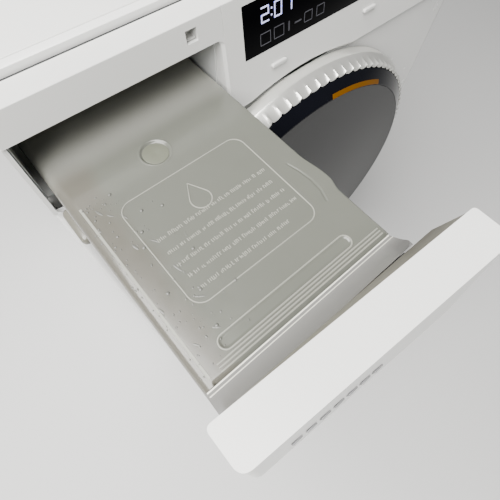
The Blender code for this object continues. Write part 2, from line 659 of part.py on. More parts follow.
def door_hinge():
    axis = (DOOR_HINGE_X, depth(DOOR_HINGE_Y), DOOR_Z)
    plate = box("door_hinge_bracket", (-0.2625, -0.2365), (depth(-0.0142), depth(PANEL_FACE) - GAP),
                (DOOR_Z - 0.045, DOOR_Z + 0.045), "zinc")
    for name, low, high in (("upper_arm", 0.030, 0.040), ("lower_arm", -0.040, -0.030)):
        arm = box(name, (DOOR_HINGE_X - 0.003, DOOR_HINGE_X + 0.003), (depth(DOOR_HINGE_Y), depth(-0.0135)),
                  (DOOR_Z + low, DOOR_Z + high))
        knuckle = cylinder(name + "_knuckle", axis, 0.0030, (low, high), steps=16, axis=(0, 0, 1))
        join(plate, arm, knuckle)
    join(plate, cylinder("door_hinge_pin", axis, 0.0014, (-0.0395, 0.0395), steps=16, axis=(0, 0, 1)))
    leaf = cylinder("door_hinge_leaf", axis, 0.0030, (-0.0295, 0.0295), "zinc", 16, (0, 0, 1))
    web = box("leaf_web", (DOOR_HINGE_X + 0.0005, -0.200), (depth(-0.0213), depth(-0.0186)),
              (DOOR_Z - 0.0295, DOOR_Z + 0.0295))
    join(leaf, web)
    cut(leaf, cylinder("leaf_bore", axis, 0.0017, (-0.06, 0.06), steps=16, axis=(0, 0, 1)))
    return leaf


def door_lock():
    z = (DOOR_Z - 0.042, DOOR_Z + 0.042)
    lock = box("door_lock", (0.2060, 0.2480), (depth(-0.0102), depth(0.0200)), z, "black_rubber")
    z = (DOOR_Z - 0.015, DOOR_Z + 0.015)
    cut(lock, box("lock_pocket", (0.2185, 0.2350), (depth(-0.0200), depth(0.0150)), z))


def gasket():
    bellows = [(0.1715, -0.0140), (0.1715, -0.0124), (0.1675, -0.0124), (0.1675, 0.0080), (0.1850, 0.0200),
               (0.1700, 0.0340), (0.1898, 0.0450), (0.1898, 0.0560), (0.1868, 0.0560), (0.1868, 0.0470),
               (0.1655, 0.0350), (0.1795, 0.0205), (0.1640, 0.0110), (0.1590, -0.0100), (0.1590, -0.0140)]
    turned("door_gasket", bellows, DOOR_CENTRE, "rubber")


# ---------------------------------------------------------------- tub and drum
def tub():
    wall = 0.003
    flange = TUB_R + 0.004
    front = [(0.1905, 0.0460), (0.1935, 0.0460), (0.1935, 0.0660), (TUB_R, 0.0660), (TUB_R, 0.2355),
             (flange, 0.2355), (flange, 0.2400), (TUB_R - wall, 0.2400), (TUB_R - wall, 0.0690),
             (0.1905, 0.0690)]
    tub_front = turned("tub_front", front, DOOR_CENTRE, "tub_plastic")
    sump = (0.060, depth(0.130), DOOR_Z - 0.270)
    cut(tub_front, cylinder("sump_hole", sump, 0.016, (-0.02, 0.05), steps=16, axis=(0, 0, 1)))
    rear = [(TUB_R - wall, 0.2403), (flange, 0.2403), (flange, 0.2445), (TUB_R, 0.2445), (TUB_R, 0.4150),
            (0.038, 0.4150), (0.038, 0.4420), (0.0300, 0.4420), (0.0300, 0.4110), (TUB_R - wall, 0.4110)]
    tub_rear = turned("tub_rear", rear, DOOR_CENTRE, "tub_plastic")
    bearing = [(0.0130, 0.4130), (0.0310, 0.4130), (0.0310, 0.4400), (0.0130, 0.4400)]
    join(tub_rear, turned("drum_bearing", bearing, DOOR_CENTRE, steps=24))


def drum():
    wall = 0.0012
    shell = [(0.1620, 0.0780), (DRUM_R, 0.0780), (DRUM_R, 0.3850), (0.0, 0.3850), (0.0, 0.3835),
             (DRUM_R - wall, 0.3835), (DRUM_R - wall, 0.0795), (0.1620, 0.0795)]
    pieces = [turned("drum", shell, DOOR_CENTRE, "steel")]
    spider = turned("drum_spider", [(0, 0.4080), (0.030, 0.4080), (0.034, 0.3853), (0, 0.3853)], DOOR_CENTRE,
                    "aluminium", 24)
    for i in range(3):
        arm = box("spider_arm_%d" % i, (-0.013, 0.013), (depth(0.3853), depth(0.4000)), (0.010, 0.236))
        turn = Matrix.Rotation(radians(120 * i + 60), 4, "Y")
        arm.data.transform(Matrix.Translation((0, 0, DOOR_Z)) @ turn)
        join(spider, arm)
    shaft = cylinder("drum_shaft", DOOR_CENTRE, 0.0127, (0.4000, 0.4820))
    join(spider, shaft)
    pieces.append(spider)
    for i in range(3):
        angle = radians(120 * i + 90)
        fin = [(-0.032, 0.2390), (-0.012, 0.205), (0.0, 0.200), (0.012, 0.205), (0.032, 0.2390),
               (0.0, 0.2400)]
        paddle = prism("drum_paddle_%d" % (i + 1), fin, "y", (depth(0.0950), depth(0.3700)), "white_plastic")
        turn = Matrix.Rotation(angle, 4, "Y")
        paddle.data.transform(Matrix.Translation((0, 0, DOOR_Z)) @ turn)
        pieces.append(paddle)
    wheel = [(0.0130, 0.4560), (0.030, 0.4560), (0.030, 0.4620), (0.144, 0.4620), (0.146, 0.4550),
             (PULLEY_R, 0.4550), (PULLEY_R, 0.4750), (0.146, 0.4750), (0.144, 0.4650), (0.030, 0.4650),
             (0.030, 0.4780), (0.0130, 0.4780)]
    pulley = turned("drum_pulley", wheel, DOOR_CENTRE, "aluminium", 30)
    window_ring = 0.088
    for i in range(6):
        turn = radians(60 * i)
        place = (window_ring * cos(turn), CONSOLE_Y, DOOR_Z + window_ring * sin(turn))
        cut(pulley, cylinder("pulley_window_%d" % i, place, 0.030, (0.44, 0.49), steps=8))
    pieces.append(pulley)
    pivot("drum_axis", DOOR_CENTRE, pieces)


def belt_outline(grow):
    """The loop round both pulleys, grown outwards."""
    big, small = PULLEY_R + grow, MOTOR_PULLEY_R + grow
    span = Vector((MOTOR_X, MOTOR_Z - DOOR_Z))
    base_turn = span.angle_signed(Vector((1, 0)))
    lap = pi / 2 - (big - small) / span.length
    points = []
    for i in range(25):
        t = base_turn + lap + (2 * pi - 2 * lap) * i / 24
        points.append((big * cos(t), DOOR_Z + big * sin(t)))
    for i in range(7):
        t = base_turn - lap + 2 * lap * i / 6
        points.append((MOTOR_X + small * cos(t), MOTOR_Z + small * sin(t)))
    return points


def drive():
    motor_centre = (MOTOR_X, CONSOLE_Y, MOTOR_Z)
    body = [(0, 0.250), (0.050, 0.250), (0.058, 0.258), (0.058, 0.425), (0.050, 0.435), (0.0080, 0.435),
            (0.0080, 0.300), (0, 0.300)]
    turned("motor", body, motor_centre, "zinc", 24)
    shaft = [(0, 0.310), (0.0060, 0.310), (0.0060, 0.4560), (0.0120, 0.4560), (0.0120, 0.4575),
             (MOTOR_PULLEY_R, 0.4580), (MOTOR_PULLEY_R, 0.4720), (0.0120, 0.4725), (0.0120, 0.4740),
             (0, 0.4740)]
    rotor = turned("motor_pulley", shaft, motor_centre, "steel", 16)
    pivot("motor_axis", motor_centre, [rotor])
    belt = prism("belt", belt_outline(0.0032), "y", (depth(0.4590), depth(0.4710)), "black_rubber")
    cut(belt, prism("belt_inside", belt_outline(0.0014), "y", (depth(0.44), depth(0.49))))


def weights():
    section = [(0.2000, 0.0265), (0.2560, 0.0265), (0.2560, 0.0655), (0.2000, 0.0655)]
    arc_sweep("front_counterweight", section, DOOR_CENTRE, radians(205), radians(335), 14, "concrete")
    y = (depth(0.255), depth(0.390))
    block = box("top_counterweight", (-0.080, 0.190), y, (0.700, 0.806), "concrete")
    cut(block, cylinder("weight_seat", DOOR_CENTRE, TUB_R + 0.0006, (0.2, 0.45), steps=96))


def suspension():
    for name, side in (("left", -1), ("right", 1)):
        turns, steps, radius = 6, 7, 0.0100
        low, high = 0.6480, 0.7880
        x, y = side * 0.2620, depth(0.330)
        path = []
        for i in range(turns * steps + 1):
            t = 2 * pi * i / steps
            path.append((x + radius * cos(t), y + radius * sin(t), low + (high - low) * i / (turns * steps)))
        tube("suspension_spring_" + name, path, 0.0016, "steel", 1)
        foot = Vector((side * 0.215, depth(0.200), 0.0206))
        head = Vector((side * 0.178, depth(0.200), 0.2800))
        along = (head - foot).normalized()
        length = (head - foot).length
        strut = [(0, 0.012), (0.013, 0.012), (0.013, 0.150), (0.0050, 0.152), (0.0050, length - 0.010),
                 (0, length - 0.010)]
        turned("damper_" + name, strut, foot, "black_rubber", 16, along)


# ---------------------------------------------------------------- water and power
def water():
    rear = REAR_Y - 0.0018
    valve = box("inlet_valve", (VALVE[0] - 0.022, VALVE[0] + 0.022), (rear - 0.060, rear - 0.0145),
                (VALVE[1] - 0.020, VALVE[1] + 0.020), "white_plastic")
    soften(valve, 0.003, 1)
    spout = cylinder("inlet_thread", (VALVE[0], rear, VALVE[1]), 0.0130, (-0.020, 0.0016), steps=24)
    bore = cylinder("inlet_bore", (VALVE[0], rear, VALVE[1]), 0.0085, (-0.010, 0.010), steps=16)
    join(valve, spout)
    cut(valve, bore)
    start = Vector((VALVE[0], rear - 0.0606, VALVE[1]))
    dock = Vector(bay(-0.0733, 0.3026, -0.045))
    route = [start, start + Vector((0, -0.008, 0)), start + Vector((0, -0.018, 0)),
             (start + dock) / 2 + Vector((0, 0, 0.008)), dock + Vector((0, 0.020, 0)), dock]
    tube("fill_hose", smooth_path(route), 0.0070, "black_rubber")
    place = (BAY_X - 0.0733, depth(0.250), 0)
    hose = [(0.0120, 0.7468), (0.0165, 0.7468), (0.0165, 0.7400), (0.0190, 0.7360), (0.0165, 0.7310),
            (0.0190, 0.7260), (0.0165, 0.7210), (0.0190, 0.7160), (0.0165, 0.7110), (0.0165, 0.6990),
            (0.0120, 0.6990)]
    turned("dispenser_hose", hose, place, "black_rubber", 14, (0, 0, 1))
    pump_and_drain(rear)


def pump_and_drain(rear):
    centre = (PUMP_X, CONSOLE_Y, PUMP_Z)
    pump = [(0.0250, 0.0020), (0.0290, 0.0020), (0.0290, 0.0900), (0.0250, 0.0900), (0.0250, 0.1360),
            (0.0230, 0.1400), (0, 0.1400), (0, 0.0850), (0.0250, 0.0850)]
    turned("drain_pump", pump, centre, "white_plastic", 20)
    cap = [(0, -0.0040), (0.0200, -0.0040), (0.0235, -0.0015), (0.0245, 0.0010), (0.0245, 0.0140),
           (0.0200, 0.0140), (0.0200, 0.0500), (0.0, 0.0500)]
    filter_cap = turned("pump_filter_cap", cap, centre, "grey_plastic", 24)
    bar = box("cap_bar", (PUMP_X - 0.016, PUMP_X + 0.016), (depth(-0.0075), depth(-0.0030)),
              (PUMP_Z - 0.0025, PUMP_Z + 0.0025))
    join(filter_cap, bar)
    pivot("filter_cap_axis", centre, [filter_cap])
    top = Vector((0.060, depth(0.130), 0.2195))
    side = Vector((PUMP_X - 0.0296, depth(0.055), PUMP_Z + 0.004))
    route = [top, top - Vector((0, 0, 0.030)), Vector((0.085, depth(0.105), 0.115)),
             side + Vector((-0.040, 0.006, 0.006)), side + Vector((-0.014, 0, 0)), side]
    tube("sump_hose", smooth_path(route), 0.0130, "black_rubber")
    start = Vector((PUMP_X + 0.010, depth(0.070), PUMP_Z + 0.0296))
    outlet = Vector((DRAIN[0], rear - 0.0326, DRAIN[1]))
    route = [start, start + Vector((0, 0, 0.012)), start + Vector((0.004, 0, 0.034)),
             Vector((0.2650, depth(0.120), 0.160)), Vector((0.2660, depth(0.300), 0.240)),
             Vector((0.2650, depth(0.500), 0.480)),
             Vector((0.2600, depth(0.505), 0.640)), Vector((0.2420, depth(0.495), 0.770)),
             outlet - Vector((0, 0.022, 0.0)), outlet - Vector((0, 0.008, 0.0)), outlet]
    tube("drain_hose", smooth_path(route), 0.0095, "black_rubber")
    fitting = [(0.0080, -0.0320), (0.0125, -0.0320), (0.0125, 0.0016), (0.0080, 0.0016)]
    turned("drain_outlet", fitting, (DRAIN[0], rear, DRAIN[1]), "grey_plastic", 16)
    half, near, far = 0.030, depth(0.0700), depth(0.3000)
    low = DOOR_Z - sqrt(0.2530 ** 2 - half ** 2)
    bend = [(half * sin(radians(a)), far + 0.024 * cos(radians(a)), low) for a in range(-90, 91, 30)]
    straight = far - 0.050
    path = [(-half, near, low), (-half, straight, low)] + bend + [(half, straight, low), (half, near, low)]
    tube("heater", path, 0.0032, "steel")


for build in (front_panel, kick_panel, rear_panel, top_plate, base, console, dispenser_housing, drawer, door,
              door_lock, gasket, tub, drum, drive, weights, suspension, water):
    build()
side_panel("side_panel_left", -1)
side_panel("side_panel_right", 1)
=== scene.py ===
"""Looks of the front load washing machine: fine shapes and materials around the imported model.

Metres, +Z up, front towards -Y. Drawer pieces are placed from the top right front corner of the
bar over the drawer opening, door and drum pieces from the console plane and the drum's axis.
"""
import json
from math import cos, pi, radians, sin, sqrt

import bmesh
import bpy
import numpy as np
from mathutils import Matrix, Vector


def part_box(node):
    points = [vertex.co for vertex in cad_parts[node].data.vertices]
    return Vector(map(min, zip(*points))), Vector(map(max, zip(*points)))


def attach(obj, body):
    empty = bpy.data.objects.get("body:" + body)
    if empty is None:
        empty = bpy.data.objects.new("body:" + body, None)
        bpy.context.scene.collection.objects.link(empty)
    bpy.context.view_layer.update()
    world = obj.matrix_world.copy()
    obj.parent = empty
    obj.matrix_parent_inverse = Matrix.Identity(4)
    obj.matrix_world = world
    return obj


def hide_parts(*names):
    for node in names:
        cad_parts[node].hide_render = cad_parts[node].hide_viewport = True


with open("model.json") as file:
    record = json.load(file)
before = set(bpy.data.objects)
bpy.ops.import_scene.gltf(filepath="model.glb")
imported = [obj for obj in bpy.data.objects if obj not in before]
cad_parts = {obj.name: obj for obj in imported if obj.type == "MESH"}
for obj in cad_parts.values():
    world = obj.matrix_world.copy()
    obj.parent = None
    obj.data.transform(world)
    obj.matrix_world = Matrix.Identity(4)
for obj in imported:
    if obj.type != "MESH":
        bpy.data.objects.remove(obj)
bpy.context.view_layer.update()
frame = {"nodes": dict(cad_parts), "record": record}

# ---------------------------------------------------------------- places read from the frame
CONSOLE_LOW, CONSOLE_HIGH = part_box("console")
CONSOLE_TOP = CONSOLE_HIGH.z
CONSOLE_DEPTH = 0.0225
CONSOLE_Y = CONSOLE_HIGH.y - CONSOLE_DEPTH
CONSOLE_HEIGHT = CONSOLE_HIGH.z - CONSOLE_LOW.z
HALF_WIDTH = CONSOLE_HIGH.x
TAB_OUT = 0.0034
BAY_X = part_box("drawer_lid")[1].x - TAB_OUT
TRIM_LOW, TRIM_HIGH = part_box("door_trim_ring")
DOOR_Z = (TRIM_LOW.z + TRIM_HIGH.z) / 2
DOOR_R = (TRIM_HIGH.z - TRIM_LOW.z) / 2
DOOR_CENTRE = Vector((0, CONSOLE_Y, DOOR_Z))
FACE_LEAN = 0.159
FACE_START = -0.0019
BAR_HEIGHT = 0.0253
FACE_NORMAL = Vector((0, -1, FACE_LEAN)).normalized()
LID_TOP = -0.0648
LID_LEFT = -0.1680
LID_ROLL = 0.0088
ROD_Y, ROD_Z = 0.0560, -0.0690
TRAY_FRONT = -0.2157
DRAWER_BOTTOM = -0.0915
FRONT_LEFT, FRONT_RIGHT = -0.184, 0.008
FRONT_BACK_Y, FRONT_BACK_SLOPE = -0.2338, 0.0524
FRONT_NEAR_Y, FRONT_NEAR_SLOPE = -0.2592, 0.0655


def bay(x, y, z):
    """World place of a point given from the bar's top right front corner."""
    return Vector((BAY_X + x, CONSOLE_Y + y, CONSOLE_TOP + z))


def depth(y):
    return CONSOLE_Y + y


def face_y(drop, behind=0.0):
    return CONSOLE_Y + FACE_START - FACE_LEAN * drop + behind


# ---------------------------------------------------------------- materials
def new_material(name):
    made = bpy.data.materials.new(name)
    made.use_nodes = True
    return made, made.node_tree.nodes, made.node_tree.links


def tinted(colour, gain):
    return (*(min(1.0, c * gain) for c in colour), 1.0)


def finish(name, colour, rough, metal=0.0, mottle=0.04, patch=9.0, spread=0.06, grain=0.0, grain_scale=900.0,
           **sockets):
    """A moulded, painted or metal surface: soft patches of tone and gloss, and a fine grain."""
    made, nodes, links = new_material(name)
    shader = nodes["Principled BSDF"]
    shader.inputs["Metallic"].default_value = metal
    for socket, value in sockets.items():
        shader.inputs[socket.replace("_", " ")].default_value = value
    place = nodes.new("ShaderNodeTexCoord")
    cloud = nodes.new("ShaderNodeTexNoise")
    cloud.inputs["Scale"].default_value = patch
    cloud.inputs["Detail"].default_value = 4.0
    links.new(place.outputs["Object"], cloud.inputs["Vector"])
    tone = nodes.new("ShaderNodeMix")
    tone.data_type = "RGBA"
    tone.inputs[6].default_value = tinted(colour, 1 - mottle)
    tone.inputs[7].default_value = tinted(colour, 1 + mottle)
    links.new(cloud.outputs["Fac"], tone.inputs[0])
    links.new(tone.outputs[2], shader.inputs["Base Color"])
    gloss = nodes.new("ShaderNodeMapRange")
    gloss.inputs["To Min"].default_value = max(0.02, rough - spread)
    gloss.inputs["To Max"].default_value = rough + spread
    smear = nodes.new("ShaderNodeTexNoise")
    smear.inputs["Scale"].default_value = patch * 3
    smear.inputs["Detail"].default_value = 6.0
    links.new(place.outputs["Object"], smear.inputs["Vector"])
    links.new(smear.outputs["Fac"], gloss.inputs["Value"])
    links.new(gloss.outputs["Result"], shader.inputs["Roughness"])
    if grain:
        speck = nodes.new("ShaderNodeTexNoise")
        speck.inputs["Scale"].default_value = grain_scale
        speck.inputs["Detail"].default_value = 3.0
        bump = nodes.new("ShaderNodeBump")
        bump.inputs["Strength"].default_value = grain
        bump.inputs["Distance"].default_value = 0.0003
        links.new(place.outputs["Object"], speck.inputs["Vector"])
        links.new(speck.outputs["Fac"], bump.inputs["Height"])
        links.new(bump.outputs["Normal"], shader.inputs["Normal"])
    return made


def glowing(name, colour, strength):
    """Lit marks of the display, a little uneven like real segments."""
    made, nodes, links = new_material(name)
    shader = nodes["Principled BSDF"]
    shader.inputs["Base Color"].default_value = (*colour, 1)
    shader.inputs["Roughness"].default_value = 0.4
    shader.inputs["Emission Strength"].default_value = strength
    place = nodes.new("ShaderNodeTexCoord")
    cloud = nodes.new("ShaderNodeTexNoise")
    cloud.inputs["Scale"].default_value = 160.0
    tone = nodes.new("ShaderNodeMix")
    tone.data_type = "RGBA"
    tone.inputs[6].default_value = tinted(colour, 0.85)
    tone.inputs[7].default_value = tinted(colour, 1.1)
    links.new(place.outputs["Object"], cloud.inputs["Vector"])
    links.new(cloud.outputs["Fac"], tone.inputs[0])
    links.new(tone.outputs[2], shader.inputs["Emission Color"])
    return made


def milky(name, middle, edge, rough):
    """Cloudy plastic with uneven gloss: one colour over the rooms, one beside the left wall, and paler
    towards the rear, which is painted light lifting the shade under the bar.
    """
    made = finish(name, middle, rough, mottle=0.05, patch=28, spread=0.10, grain=0.06, grain_scale=420,
                  Subsurface_Weight=0.15, Subsurface_Radius=(1.0, 0.98, 0.9), Subsurface_Scale=0.01,
                  Coat_Weight=0.35, Coat_Roughness=0.10)
    nodes, links = made.node_tree.nodes, made.node_tree.links
    shader = nodes["Principled BSDF"]
    body = shader.inputs["Base Color"].links[0].from_socket
    place = nodes.new("ShaderNodeTexCoord")
    parts = nodes.new("ShaderNodeSeparateXYZ")
    links.new(place.outputs["Object"], parts.inputs[0])
    cloud = nodes.new("ShaderNodeTexNoise")
    cloud.inputs["Scale"].default_value = 22.0
    cloud.inputs["Detail"].default_value = 5.0
    links.new(place.outputs["Object"], cloud.inputs["Vector"])
    shift = nodes.new("ShaderNodeMath")
    shift.operation = "MULTIPLY_ADD"
    shift.inputs[1].default_value = 0.045
    links.new(cloud.outputs["Fac"], shift.inputs[0])
    links.new(parts.outputs["X"], shift.inputs[2])
    reach = nodes.new("ShaderNodeMapRange")
    reach.interpolation_type = "SMOOTHSTEP"
    reach.inputs["From Min"].default_value = BAY_X - 0.1360
    reach.inputs["From Max"].default_value = BAY_X - 0.1160
    links.new(shift.outputs[0], reach.inputs["Value"])
    blend = nodes.new("ShaderNodeMix")
    blend.data_type = "RGBA"
    blend.inputs[6].default_value = (*edge, 1)
    links.new(reach.outputs["Result"], blend.inputs[0])
    links.new(body, blend.inputs[7])
    # painted light: the colour turns paler towards the rear, where the bar over the drawer casts its shade
    back = nodes.new("ShaderNodeMapRange")
    back.interpolation_type = "SMOOTHSTEP"
    back.inputs["From Min"].default_value = CONSOLE_Y - 0.0260
    back.inputs["From Max"].default_value = CONSOLE_Y + 0.0050
    links.new(parts.outputs["Y"], back.inputs["Value"])
    pale = nodes.new("ShaderNodeMix")
    pale.data_type = "RGBA"
    pale.inputs[7].default_value = (0.25, 0.25, 0.225, 1)
    links.new(back.outputs["Result"], pale.inputs[0])
    links.new(blend.outputs[2], pale.inputs[6])
    links.new(pale.outputs[2], shader.inputs["Base Color"])
    return made


PAINT = finish("white_enamel", (0.70, 0.70, 0.69), 0.26, grain=0.12, grain_scale=260, mottle=0.012,
               Coat_Weight=0.25)
SATIN = finish("white_satin", (0.66, 0.66, 0.645), 0.30, grain=0.06, grain_scale=1300, mottle=0.012)
COVE = finish("cove_grey", (0.20, 0.197, 0.190), 0.17, mottle=0.05, patch=30, spread=0.05, grain=0.03)
BEIGE = finish("backplate_beige", (0.24, 0.225, 0.185), 0.45, mottle=0.05, patch=40, grain=0.35,
               grain_scale=700)
# both milky looks carry the painted light that turns them paler towards the rear
MILKY = milky("milky_lid", (0.106, 0.109, 0.094), (0.100, 0.095, 0.080), 0.20)
MILKY_WALL = milky("milky_tray", (0.115, 0.115, 0.098), (0.115, 0.110, 0.092), 0.24)
# raised lines on the lid: frosted marks, lighter in colour partly as a painted highlight where they catch the
# light
MARK_AND_HIGHLIGHT = finish("frosted_mark_and_highlight", (0.24, 0.24, 0.21), 0.30, mottle=0.04, patch=60, grain=0.08)
WATER = finish("water", (0.105, 0.106, 0.096), 0.08, mottle=0.03, spread=0.03)
BLACK = finish("black_gloss", (0.0035, 0.0038, 0.006), 0.12, mottle=0.2, spread=0.03, Specular_IOR_Level=0.15)
SCREEN = finish("screen_glass", (0.0008, 0.0008, 0.0012), 0.10, mottle=0.2, spread=0.02,
                Specular_IOR_Level=0.04)
SILVER = finish("satin_silver", (0.86, 0.86, 0.82), 0.30, metal=0.75, mottle=0.02, spread=0.05, grain=0.04)
SMOKE = finish("smoke_cover", (0.012, 0.0125, 0.014), 0.09, mottle=0.05, spread=0.03,
               Transmission_Weight=0.35, Specular_IOR_Level=0.05)
AMBER = finish("amber_accent", (0.130, 0.050, 0.002), 0.42, mottle=0.08, patch=60, Specular_IOR_Level=0.1)
GLASS = finish("clear_glass", (0.93, 0.97, 0.96), 0.03, mottle=0.01, spread=0.015,
               Transmission_Weight=1.0, IOR=1.5)
STEEL = finish("drum_steel", (0.62, 0.62, 0.62), 0.26, metal=1.0, mottle=0.05, patch=14, spread=0.08)
ZINC = finish("galvanised_sheet", (0.52, 0.54, 0.56), 0.42, metal=0.9, mottle=0.12, patch=55, spread=0.12)
CAST = finish("cast_aluminium", (0.55, 0.55, 0.56), 0.45, metal=0.9, mottle=0.08, patch=40, grain=0.4)
RUBBER = finish("grey_rubber", (0.17, 0.17, 0.175), 0.62, mottle=0.08, patch=25, grain=0.25, grain_scale=600)
DARK_RUBBER = finish("black_rubber", (0.022, 0.022, 0.024), 0.70, mottle=0.15, patch=25, grain=0.3,
                     grain_scale=600)
TUB = finish("tub_plastic", (0.62, 0.63, 0.62), 0.50, mottle=0.05, patch=18, grain=0.2)
CONCRETE = finish("cast_concrete", (0.36, 0.35, 0.33), 0.90, mottle=0.22, patch=70, grain=0.9,
                  grain_scale=350)
BOARD = finish("board_green", (0.02, 0.13, 0.05), 0.45, mottle=0.25, patch=120, grain=0.3)
CAP = finish("grey_cap", (0.40, 0.40, 0.39), 0.38, mottle=0.04, grain=0.15)
INNER = finish("door_frame_grey", (0.30, 0.30, 0.31), 0.40, mottle=0.04, grain=0.10)
DIGIT = glowing("display_digit", (0.60, 0.62, 1.0), 0.9)
ICON = glowing("display_icon", (0.05, 0.05, 0.06), 0.12)
DIMPLE_TINT = finish("dimple_tint", (0.105, 0.110, 0.084), 0.35, mottle=0.05, patch=60, grain=0.1)
# cream of the cove strip: a painted highlight
HIGHLIGHT_CREAM = finish("cream_painted_highlight", (0.80, 0.78, 0.70), 0.22, mottle=0.03, patch=30, grain=0.03)
RIB_GREY = finish("rib_grey", (0.16, 0.16, 0.165), 0.40, mottle=0.06, patch=50, grain=0.1)

SLOT_LOOKS = {
    "white_paint": PAINT, "white_plastic": SATIN, "grey_plastic": CAP, "translucent_plastic": MILKY_WALL,
    "beige_plastic": BEIGE, "black_gloss": BLACK, "silver": SILVER, "smoke_cover": SMOKE,
    "door_glass": GLASS, "amber": AMBER, "steel": STEEL, "zinc": ZINC, "aluminium": CAST,
    "rubber": RUBBER, "black_rubber": DARK_RUBBER, "tub_plastic": TUB, "concrete": CONCRETE,
    "circuit_green": BOARD,
}
NODE_SLOT = {row["node"]: row["material_slot"] for row in frame["record"]["subparts"]}
for node_name, node_object in frame["nodes"].items():
    node_object.data.materials.clear()
    node_object.data.materials.append(SLOT_LOOKS[NODE_SLOT[node_name]])
    node_object.data.shade_smooth()
    node_object.data.set_sharp_from_angle(angle=radians(32))
BODY_OF = {n: body for body, nodes_of in frame["record"]["behaviour"]["bodies"].items() for n in nodes_of}


# ---------------------------------------------------------------- modelling helpers
def place_piece(obj, look, body, *nodes, crease=35, even=False):
    """Finish a piece: material, smooth shading, the body it rides on and the nodes it stands for."""
    obj.data.materials.clear()
    obj.data.materials.append(look)
    if obj.type == "MESH":
        obj.data.shade_smooth()
        obj.data.set_sharp_from_angle(angle=radians(crease))
    if even:
        obj.modifiers.new("even", "WEIGHTED_NORMAL").keep_sharp = True
        settle(obj)
    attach(obj, body)
    if nodes:
        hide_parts(*nodes)
    return obj


def from_bmesh(name, bm, outward=True):
    mesh = bpy.data.meshes.new(name)
    if outward:
        bmesh.ops.recalc_face_normals(bm, faces=bm.faces)
    bm.to_mesh(mesh)
    bm.free()
    obj = bpy.data.objects.new(name, mesh)
    bpy.context.scene.collection.objects.link(obj)
    return obj


def from_lists(name, verts, faces, outward=True):
    bm = bmesh.new()
    made = [bm.verts.new(v) for v in verts]
    for face in faces:
        bm.faces.new([made[i] for i in face])
    return from_bmesh(name, bm, outward)


def box(name, low, high):
    bm = bmesh.new()
    bmesh.ops.create_cube(bm, size=1.0)
    low, high = Vector(low), Vector(high)
    bmesh.ops.scale(bm, vec=high - low, verts=bm.verts)
    bmesh.ops.translate(bm, vec=(high + low) / 2, verts=bm.verts)
    return from_bmesh(name, bm)


def prism(name, outline, along, limits):
    """An outline pushed along one axis: x takes (y, z) points, y (x, z) and z (x, y)."""
    put = {
        "x": lambda a, b, d: (d, a, b),
        "y": lambda a, b, d: (a, d, b),
        "z": lambda a, b, d: (a, b, d),
    }[along]
    count = len(outline)
    verts = [put(a, b, d) for d in limits for a, b in outline]
    sides = [(i, (i + 1) % count, count + (i + 1) % count, count + i) for i in range(count)]
    return from_lists(name, verts, [tuple(range(count)), tuple(range(count, 2 * count))] + sides)


def fillet(points, radius, steps=4):
    """A closed outline with its corners rounded; radius is one number or one for each point."""
    radii = radius if isinstance(radius, (list, tuple)) else [radius] * len(points)
    out = []
    for i, here in enumerate(points):
        before, after = Vector(points[i - 1]), Vector(points[(i + 1) % len(points)])
        here = Vector(here)
        a, b = (before - here), (after - here)
        turn = a.angle(b)
        if radii[i] <= 0 or turn > radians(172):
            out.append(tuple(here))
            continue
        reach = min(radii[i] / max(1e-6, sin(turn / 2) / cos(turn / 2)), a.length * 0.45, b.length * 0.45)
        start, end = here + a.normalized() * reach, here + b.normalized() * reach
        for k in range(steps + 1):
            t = k / steps
            out.append(tuple((1 - t) ** 2 * start + 2 * t * (1 - t) * here + t ** 2 * end))
    return out


def lathe(name, profile, centre=DOOR_CENTRE, steps=160, axis=(0, 1, 0), change=None):
    """A closed (radius, distance along the axis) profile turned about the axis."""
    turn = Vector(axis).to_track_quat("Z", "Y").to_matrix()
    centre = Vector(centre)
    verts, faces, count = [], [], len(profile)
    for k in range(steps):
        angle = 2 * pi * k / steps
        for i, (r, h) in enumerate(profile):
            if change:
                r, h = change(r, h, angle)
            r = max(r, 0.00001)
            verts.append(centre + turn @ Vector((r * cos(angle), r * sin(angle), h)))
    for k in range(steps):
        for i in range(count):
            j, n = (i + 1) % count, (k + 1) % steps
            if profile[i][0] <= 0 and profile[j][0] <= 0:
                continue
            faces.append((k * count + i, k * count + j, n * count + j, n * count + i))
    obj = from_lists(name, verts, faces)
    bm = bmesh.new()
    bm.from_mesh(obj.data)
    bmesh.ops.remove_doubles(bm, verts=bm.verts, dist=0.00005)
    bmesh.ops.recalc_face_normals(bm, faces=bm.faces)
    bm.to_mesh(obj.data)
    bm.free()
    return obj


def settle(obj):
    """Turn the modifiers of a piece into its mesh."""
    bpy.context.view_layer.update()
    made = bpy.data.meshes.new_from_object(obj.evaluated_get(bpy.context.evaluated_depsgraph_get()))
    obj.modifiers.clear()
    obj.data = made
    return obj


def carve(obj, *cutters, operation="DIFFERENCE"):
    for cutter in cutters:
        change = obj.modifiers.new("change", "BOOLEAN")
        change.operation = operation
        change.solver = "EXACT"
        change.object = cutter
        settle(obj)
        bpy.data.objects.remove(cutter)
    return obj


def soften(obj, width, segments=3, angle=30):
    rounding = obj.modifiers.new("rounded", "BEVEL")
    rounding.width = width
    rounding.segments = segments
    rounding.limit_method = "ANGLE"
    rounding.angle_limit = radians(angle)
    rounding.harden_normals = False
    return settle(obj)


def corner(centre, radius, start, end, steps=8):
    turns = [radians(start + (end - start) * i / steps) for i in range(steps + 1)]
    return [(centre[0] + radius * cos(t), centre[1] + radius * sin(t)) for t in turns]


def leaning_slab(name, x, drops, behind):
    top, bottom = drops
    outline = [(face_y(d, b), CONSOLE_TOP - d) for d, b in
               ((top, behind[0]), (top, behind[1]), (bottom, behind[1]), (bottom, behind[0]))]
    return prism(name, outline, "x", x)


def smooth_step(low, high, value):
    t = np.clip((value - low) / (high - low), 0, 1)
    return t * t * (3 - 2 * t)


